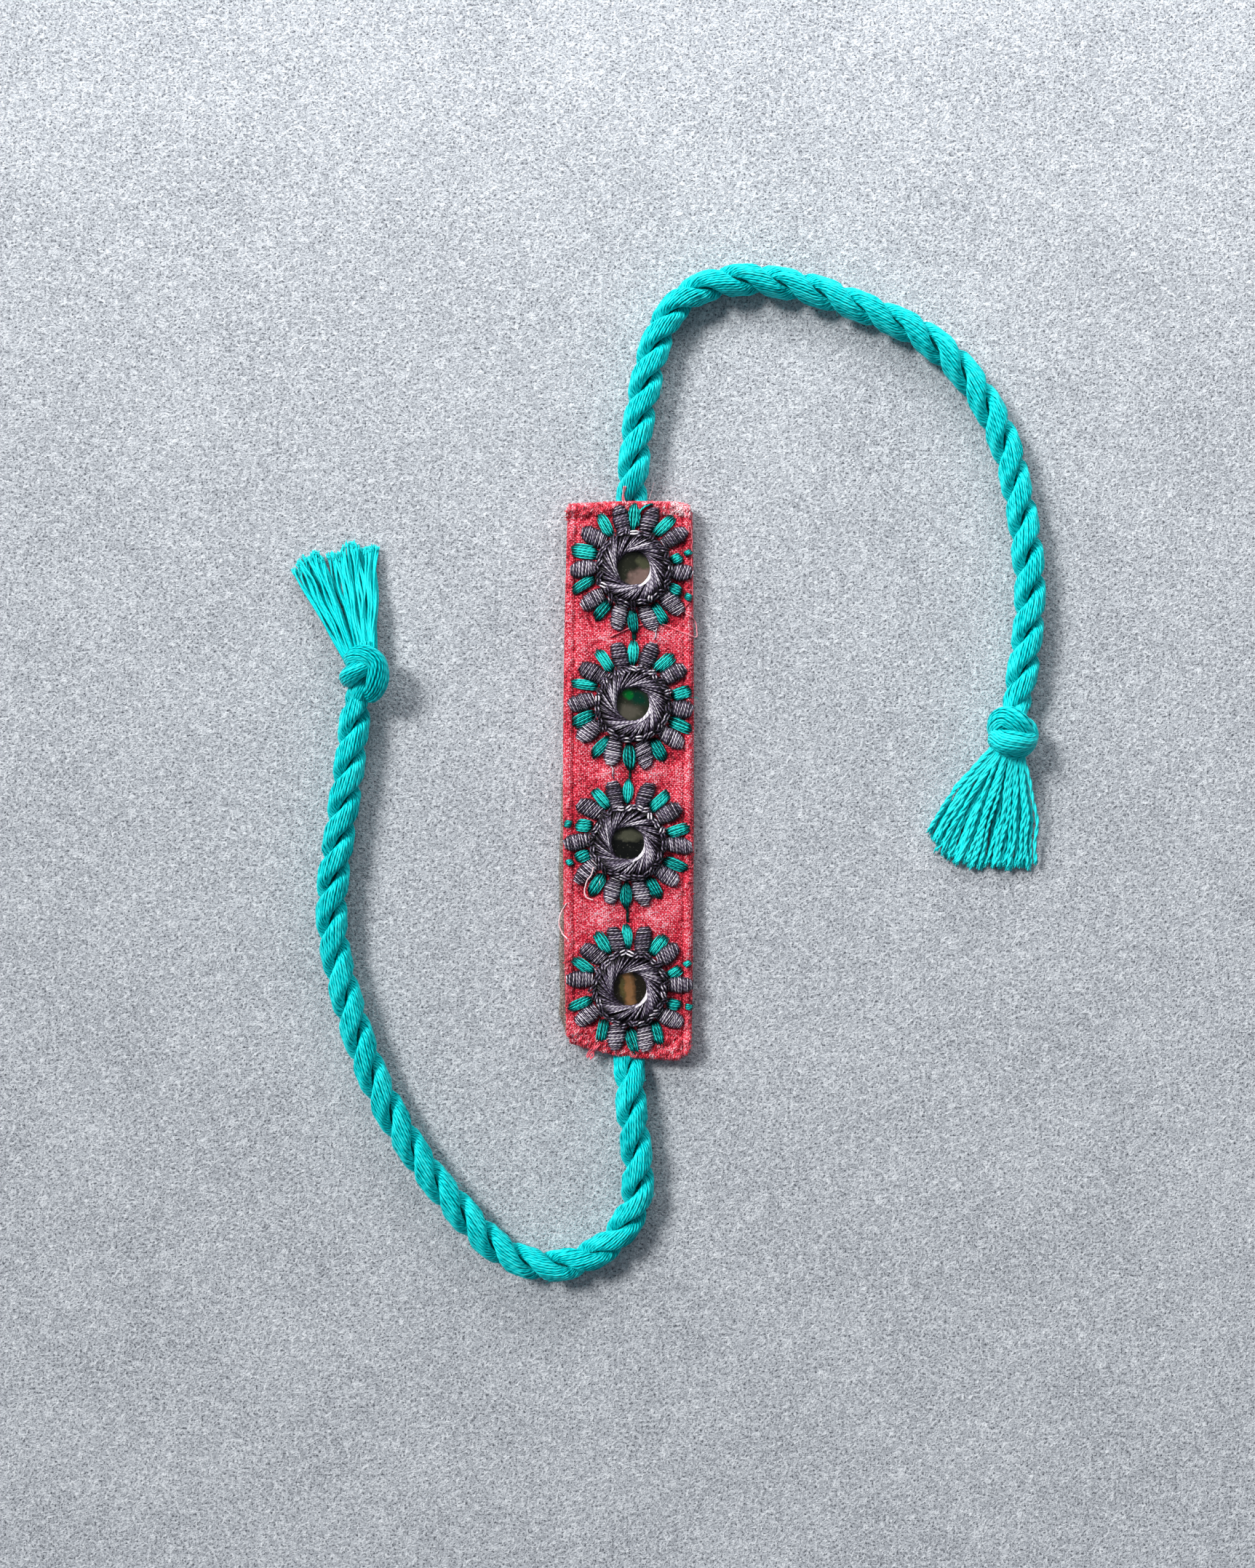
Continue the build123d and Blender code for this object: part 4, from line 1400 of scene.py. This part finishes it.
def add_ray(mesh, centre, angle, turn, rng, upright, cut, wide):
    """A leaf of straight strands side by side. A seam may break it in two."""
    end = room(centre, angle, (UPRIGHT_RAY_END if upright else RAY_END) + rng.uniform(-0.25, 0.25), 0.2)
    length = end - RAY_START
    if length < 0.7:
        return
    pieces = [(0.0, 1.0)]
    if cut:
        side = math.copysign(1, math.cos(angle))
        reach = (CUT - side * (centre[0] - BAND_MIDDLE)) / abs(math.cos(angle))
        split = np.clip((reach - RAY_START) / length, 0.45, 0.78)
        pieces = [(0.0, split), (min(split + CUT_GAP / length, 0.85), 1.0)]
    strands = int(rng.integers(8, 10)) + 2 * wide
    width = rng.uniform(1.4, 1.9) * (1.3 if wide else 1)
    lean = rng.uniform(-0.35, 0.35)
    blunt = rng.uniform(0.25, 0.45) if upright else rng.uniform(0.60, 0.92)
    start, ahead, beside = leaf(centre, angle, turn, RAY_START, end)
    t = np.linspace(0, 1, 16)
    paths = []
    for first, last in pieces:
        long = (last - first) * length
        for k in range(strands):
            place = (k + rng.uniform(-0.25, 0.25) - (strands - 1) / 2) / (strands - 1)
            spindle = blunt + (1 - blunt) * np.sin(math.pi * np.clip(t * 0.94 + 0.03, 0, 1)) ** 0.7
            inset = 0.05 * (2 * place) ** 2 + rng.uniform(0, 0.09)
            own = first * length + long * (inset + (1 - 2 * inset) * t) + lean * place * min(long, 2.0) * 0.5
            across = place * width * spindle * (1 if first == 0 else DOT_SHARE) + 0.03 * np.sin(TAU * t + k)
            arch = np.sin(math.pi * t) ** 0.6
            height = 0.04 + RAY_HEIGHT * arch * (1 - 2 * place**2) + rng.uniform(-0.03, 0.03)
            spot = start + ahead * own[:, None] + beside * across[:, None]
            paths.append(np.column_stack([spot, stitch_base(spot) + height]))
    taper = 1 - 0.4 * np.abs(2 * t - 1) ** 4
    # Painted light: rays on the motif's upper side are tinted paler and those on its lower side darker
    tints = stripes(rng, len(paths)) + 0.3 * math.sin(angle)
    mesh.tubes(paths, RAY_STRAND * taper, 5, tints)
    # The ray's core wears the dark core colour: painted shade in the gaps between its strands
    s = np.linspace(0.04, 0.96, 8)
    for first, last in pieces:
        spots = start + ahead * ((first + (last - first) * s) * length)[:, None]
        core = np.column_stack([spots, np.full(8, CLOTH_TOP - 0.05)])
        radii = width * (0.45 if first == 0 else 0.3) * np.sin(math.pi * s) ** 0.7
        mesh.tubes(core[None], radii, 8, material=1, flat=0.5)


# Where each motif's ten petals and rays lie, in degrees from the right, and how far each turns from pointing
# straight out. The seam cuts the rays on cut_side, 1 for the right. wide_ray is the widest one's number.
Motif = namedtuple("Motif", "cut_side wide_ray petals_at petal_turns rays_at ray_turns")
MOTIFS = [
    Motif(
        cut_side=1,
        wide_ray=4,
        petals_at=(-4, 38, 72, 104, 141, 180, 217, 253, 287, 318),
        petal_turns=(-4, -5, -3, 0, 14, 5, -4, 5, 7, -5),
        rays_at=(15, 55, 90, 123, 160, 197, 233, 269, 300, 333),
        ray_turns=(14, -10, -5, -4, 12, 15, -3, 8, 5, 0),
    ),
    Motif(
        cut_side=0,
        wide_ray=0,
        petals_at=(-6, 37, 72, 105, 142, 178, 212, 247, 283, 319),
        petal_turns=(-4, -7, -4, -1, 10, 20, 10, 12, 2, 10),
        rays_at=(13, 53, 90, 123, 158, 197, 233, 266, 299, 336),
        ray_turns=(5, -10, -2, 1, 14, 7, -8, 5, 1, 1),
    ),
    Motif(
        cut_side=-1,
        wide_ray=-1,
        petals_at=(-3, 36, 70, 105, 138, 179, 215, 252, 285, 320),
        petal_turns=(-3, -7, -2, -2, 12, 12, 13, 2, 2, 7),
        rays_at=(14, 53, 90, 121, 160, 197, 233, 268, 300, 336),
        ray_turns=(4, -11, -5, 9, 14, 9, 4, 2, 0, 1),
    ),
    Motif(
        cut_side=1,
        wide_ray=-1,
        petals_at=(4, 42, 75, 106, 137, 170, 213, 254, 287, 323),
        petal_turns=(-4, -8, 11, 0, 9, 10, 5, 12, -11, 11),
        rays_at=(21, 57, 93, 121, 154, 197, 237, 273, 301, 341),
        ray_turns=(14, -4, -1, 1, -10, 9, 23, 16, -16, 8),
    ),
]


def make_motif(number, centre, motif):
    rng = np.random.default_rng(100 + number)
    collar = Mesh()
    add_collar_core(collar, centre)
    add_swirl(collar, centre, rng)
    add_edge(collar, centre, rng)
    collar.build(f"swirl_{number}", [grey_thread, grey_shade_core], "grey_thread", [f"ring_{number}"])
    chain = Mesh()
    add_chain(chain, centre, rng)
    chain.build(f"chain_{number}", [grey_thread], "grey_thread")
    petals, rays = Mesh(), Mesh()
    for at, turn in zip(np.radians(motif.petals_at), np.radians(motif.petal_turns)):
        add_petal(petals, centre, at, turn, rng)
    for k, (at, turn) in enumerate(zip(np.radians(motif.rays_at), np.radians(motif.ray_turns))):
        upright = abs(math.sin(at)) > 0.97
        cut = motif.cut_side * math.cos(at) > 0.85
        add_ray(rays, centre, at, turn, rng, upright, cut, k == motif.wide_ray)
    petals.build(f"satin_{number}", [grey_thread, grey_shade_core], "grey_thread", [f"petals_{number}"])
    rays.build(f"straight_{number}", [teal_thread, dark_teal_and_shade], "teal_thread", [f"rays_{number}"])


for index, centre in enumerate(MOTIF_CENTRES):
    number = index + 1
    make_motif(number, centre, MOTIFS[index])
    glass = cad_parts[f"mirror_{number}"]
    glass.data.materials.clear()
    glass.data.materials.append(mirror_material(index, centre))


# Loose threads that lie on the work. tint is how pale a thread is, and height how far above the surface there
# it lies.
Loose = namedtuple("Loose", "tint radius height places")
RED_LOOSE = [
    Loose(0.66, 0.09, 0.15, [(-2.6, 22.7), (0.5, 24.1), (2.8, 24.7), (4.7, 24.9), (6.4, 24.5),
                             (8.7, 23.5)]),
    Loose(0.74, 0.09, 0.15, [(8.7, 23.5), (11.0, 22.7), (11.1, 24.3), (10.7, 25.5), (9.4, 26.4),
                             (9.0, 27.2)]),
    Loose(0.62, 0.06, 0.12, [(9.0, 27.2), (9.9, 28.2), (10.4, 29.4), (10.4, 32.5), (10.3, 35.4),
                             (10.4, 38.0)]),
    Loose(0.72, 0.06, 0.12, [(10.4, 38.0), (10.2, 40.2), (9.6, 41.2)]),
    Loose(0.97, 0.12, 0.10, [(-9.5, -19.4), (-10.2, -20.6), (-10.7, -22.2), (-10.3, -23.9), (-9.3, -25.0)]),
    Loose(0.97, 0.12, 0.85, [(-5.2, -13.7), (-5.5, -14.8), (-6.3, -16.0), (-6.6, -17.6),
                             (-6.2, -18.5), (-5.2, -18.8)]),
    Loose(0.95, 0.11, 0.60, [(-4.2, -15.8), (-4.4, -16.6), (-5.0, -17.2)]),
    Loose(0.72, 0.14, 0.35, [(-0.1, 46.4), (-0.4, 45.5), (-0.6, 44.7), (-0.5, 43.7)]),
    Loose(0.80, 0.10, 0.45, [(-0.4, 46.4), (-0.5, 45.5), (-0.4, 44.7), (-0.1, 43.7)]),
    Loose(0.96, 0.04, 0.10, [(3.6, 44.6), (4.0, 46.0), (4.4, 47.2)]),
    Loose(0.64, 0.13, 0.25, [(-4.2, -41.6), (-4.9, -42.6), (-5.7, -43.6), (-5.4, -43.9)]),
    Loose(0.56, 0.13, 0.30, [(-4.9, -41.4), (-5.3, -42.6), (-5.9, -43.3), (-6.2, -43.9)]),
    Loose(0.70, 0.11, 0.20, [(-4.4, -41.3), (-5.0, -42.3), (-5.4, -43.2), (-6.0, -43.7)]),
    Loose(0.52, 0.11, 0.35, [(-4.7, -41.9), (-5.2, -42.8), (-5.2, -43.6), (-5.8, -44.1)]),
    Loose(0.62, 0.10, 0.15, [(-5.3, -41.8), (-5.7, -42.6), (-6.1, -43.1), (-6.4, -43.7)]),
]
TEAL_LOOSE = [
    Loose(0.7, 0.19, 0.35, [(1.9, 40.2), (2.0, 42.0), (2.5, 42.9), (3.3, 43.4), (4.2, 43.6)]),
    Loose(0.7, 0.05, 0.25, [(9.7, 13.3), (10.5, 13.1), (11.1, 13.2), (11.5, 12.8)]),
]
DARK_TEAL_LOOSE = [
    Loose(0.7, 0.24, 0.10, [(1.0, 24.6), (1.05, 23.6), (1.1, 22.4)]),
    Loose(0.7, 0.24, 0.10, [(1.4, 24.6), (1.35, 23.6), (1.3, 22.4)]),
    Loose(0.7, 0.22, 0.10, [(0.6, 2.4), (0.55, 1.4), (0.5, 0.4)]),
    Loose(0.7, 0.22, 0.10, [(0.1, -19.4), (0.15, -20.8), (0.2, -22.4)]),
]
GREY_LOOSE = [
    Loose(1.4, 0.13, 0.30, [(4.0, 25.1), (4.4, 24.6), (4.8, 24.1), (4.5, 23.6), (4.2, 24.0),
                            (4.6, 24.4), (5.0, 24.9)]),
    Loose(1.4, 0.10, 0.10, [(4.5, 23.8), (4.6, 23.1), (4.5, 22.3)]),
    Loose(1.4, 0.11, 0.12, [(-2.2, 3.4), (-2.5, 2.6), (-2.1, 1.8), (-2.2, 1.0), (-2.0, 0.3)]),
]


def make_loose_threads():
    red, teal, grey = Mesh(), Mesh(), Mesh()
    for mesh, threads, sides, material in (
        (red, RED_LOOSE, 5, 0),
        (teal, TEAL_LOOSE, 6, 0),
        (teal, DARK_TEAL_LOOSE, 6, 1),
        (grey, GREY_LOOSE, 5, 0),
    ):
        for thread in threads:
            line = smooth([(x, y, 0) for x, y in thread.places], 34)
            x, y = line[:, 0], line[:, 1]
            line[:, :2] += 0.04 * np.stack([ripple(y, x, 61, 0.9), ripple(x, y, 62, 0.9)], 1)
            base = np.maximum(cloth_height(x, y), BACKING_TOP)
            over_cord = (np.abs(x - UPPER_ROUTE[0][0]) < CORD_LEVEL) & (y > BAND_REACH)
            base = np.where(over_cord, 2.2 + 0.5 * (y - BAND_REACH), base)
            line[:, 2] = base + thread.height
            mesh.tubes(line[None], thread.radius, sides, thread.tint, material)
    red.build("loose_threads", [fray_material], "red_cotton")
    teal.build("loose_teal_threads", [teal_thread, dark_teal_and_shade], "teal_thread")
    grey.build("loose_grey_threads", [grey_thread], "grey_thread")


make_loose_threads()


# Surface and light


FLOOR_SIZE = 3.0
FLOOR_LEVEL = -0.00002


def make_floor():
    s = Shader("floor")
    place = s.place()
    felt = s.noise(place, 2100.0, detail=3.0, roughness=0.75)
    level = s.span(felt, 0.3, 0.7) * 0.50 + s.noise(place, 60.0, detail=3.0) * 0.20
    for scale in (800.0, 1150.0):
        # A fibre lies along each line where the noise is at its middle value
        away = s.math("ABSOLUTE", s.noise(place, scale, detail=1.0, distortion=0.8) - 0.5)
        level += s.span(away, 0.0, 0.07, 0.26, 0.0)
    level += s.span(s.noise(place, 3000.0, detail=1.0), 0.30, 0.43, -0.40, 0.0)
    colour = s.ramp(level, [(0.0, (96, 100, 108)), (0.42, (190, 195, 202)), (0.95, (246, 250, 254))])
    s.bump(level, 0.30, 0.6)
    s.finish(colour, {"Roughness": 0.95, "Specular IOR Level": 0.1})
    bpy.ops.mesh.primitive_plane_add(size=FLOOR_SIZE, location=(0, 0, FLOOR_LEVEL))
    floor = bpy.context.object
    floor.name = "floor"
    floor.data.materials.append(s.material)


KEY_FROM = (-0.62, 0.46, 0.66)
KEY_STRENGTH = 3.0
KEY_SOFTNESS = 17  # degrees across
TOP_AT = (0.0, 0.28, 0.14)
TOP_AIM = (0.0, 0.13, 0.0)
TOP_WATTS = 0.82
SKY = 0.19


def add_light(data, place, aim):
    light = bpy.data.objects.new(data.name, data)
    light.location = place
    light.rotation_mode = "QUATERNION"
    light.rotation_quaternion = (Vector(aim) - Vector(place)).to_track_quat("-Z", "Y")
    bpy.context.scene.collection.objects.link(light)


def make_light():
    """A soft window light from the upper left, a near light past the top edge, and the sky."""
    key = bpy.data.lights.new("key", "SUN")
    key.energy = KEY_STRENGTH
    key.angle = math.radians(KEY_SOFTNESS)
    key.color = (1.0, 0.985, 0.965)
    add_light(key, KEY_FROM, (0, 0, 0))
    top = bpy.data.lights.new("top", "AREA")
    top.shape = "RECTANGLE"
    top.size, top.size_y = 0.42, 0.10
    top.energy = TOP_WATTS
    add_light(top, TOP_AT, TOP_AIM)
    world = bpy.data.worlds.new("world")
    world.use_nodes = True
    background = world.node_tree.nodes["Background"]
    background.inputs["Color"].default_value = (0.80, 0.88, 1.0, 1)
    background.inputs["Strength"].default_value = SKY
    bpy.context.scene.world = world
    bpy.context.scene.view_settings.view_transform = "Standard"


make_floor()
make_light()
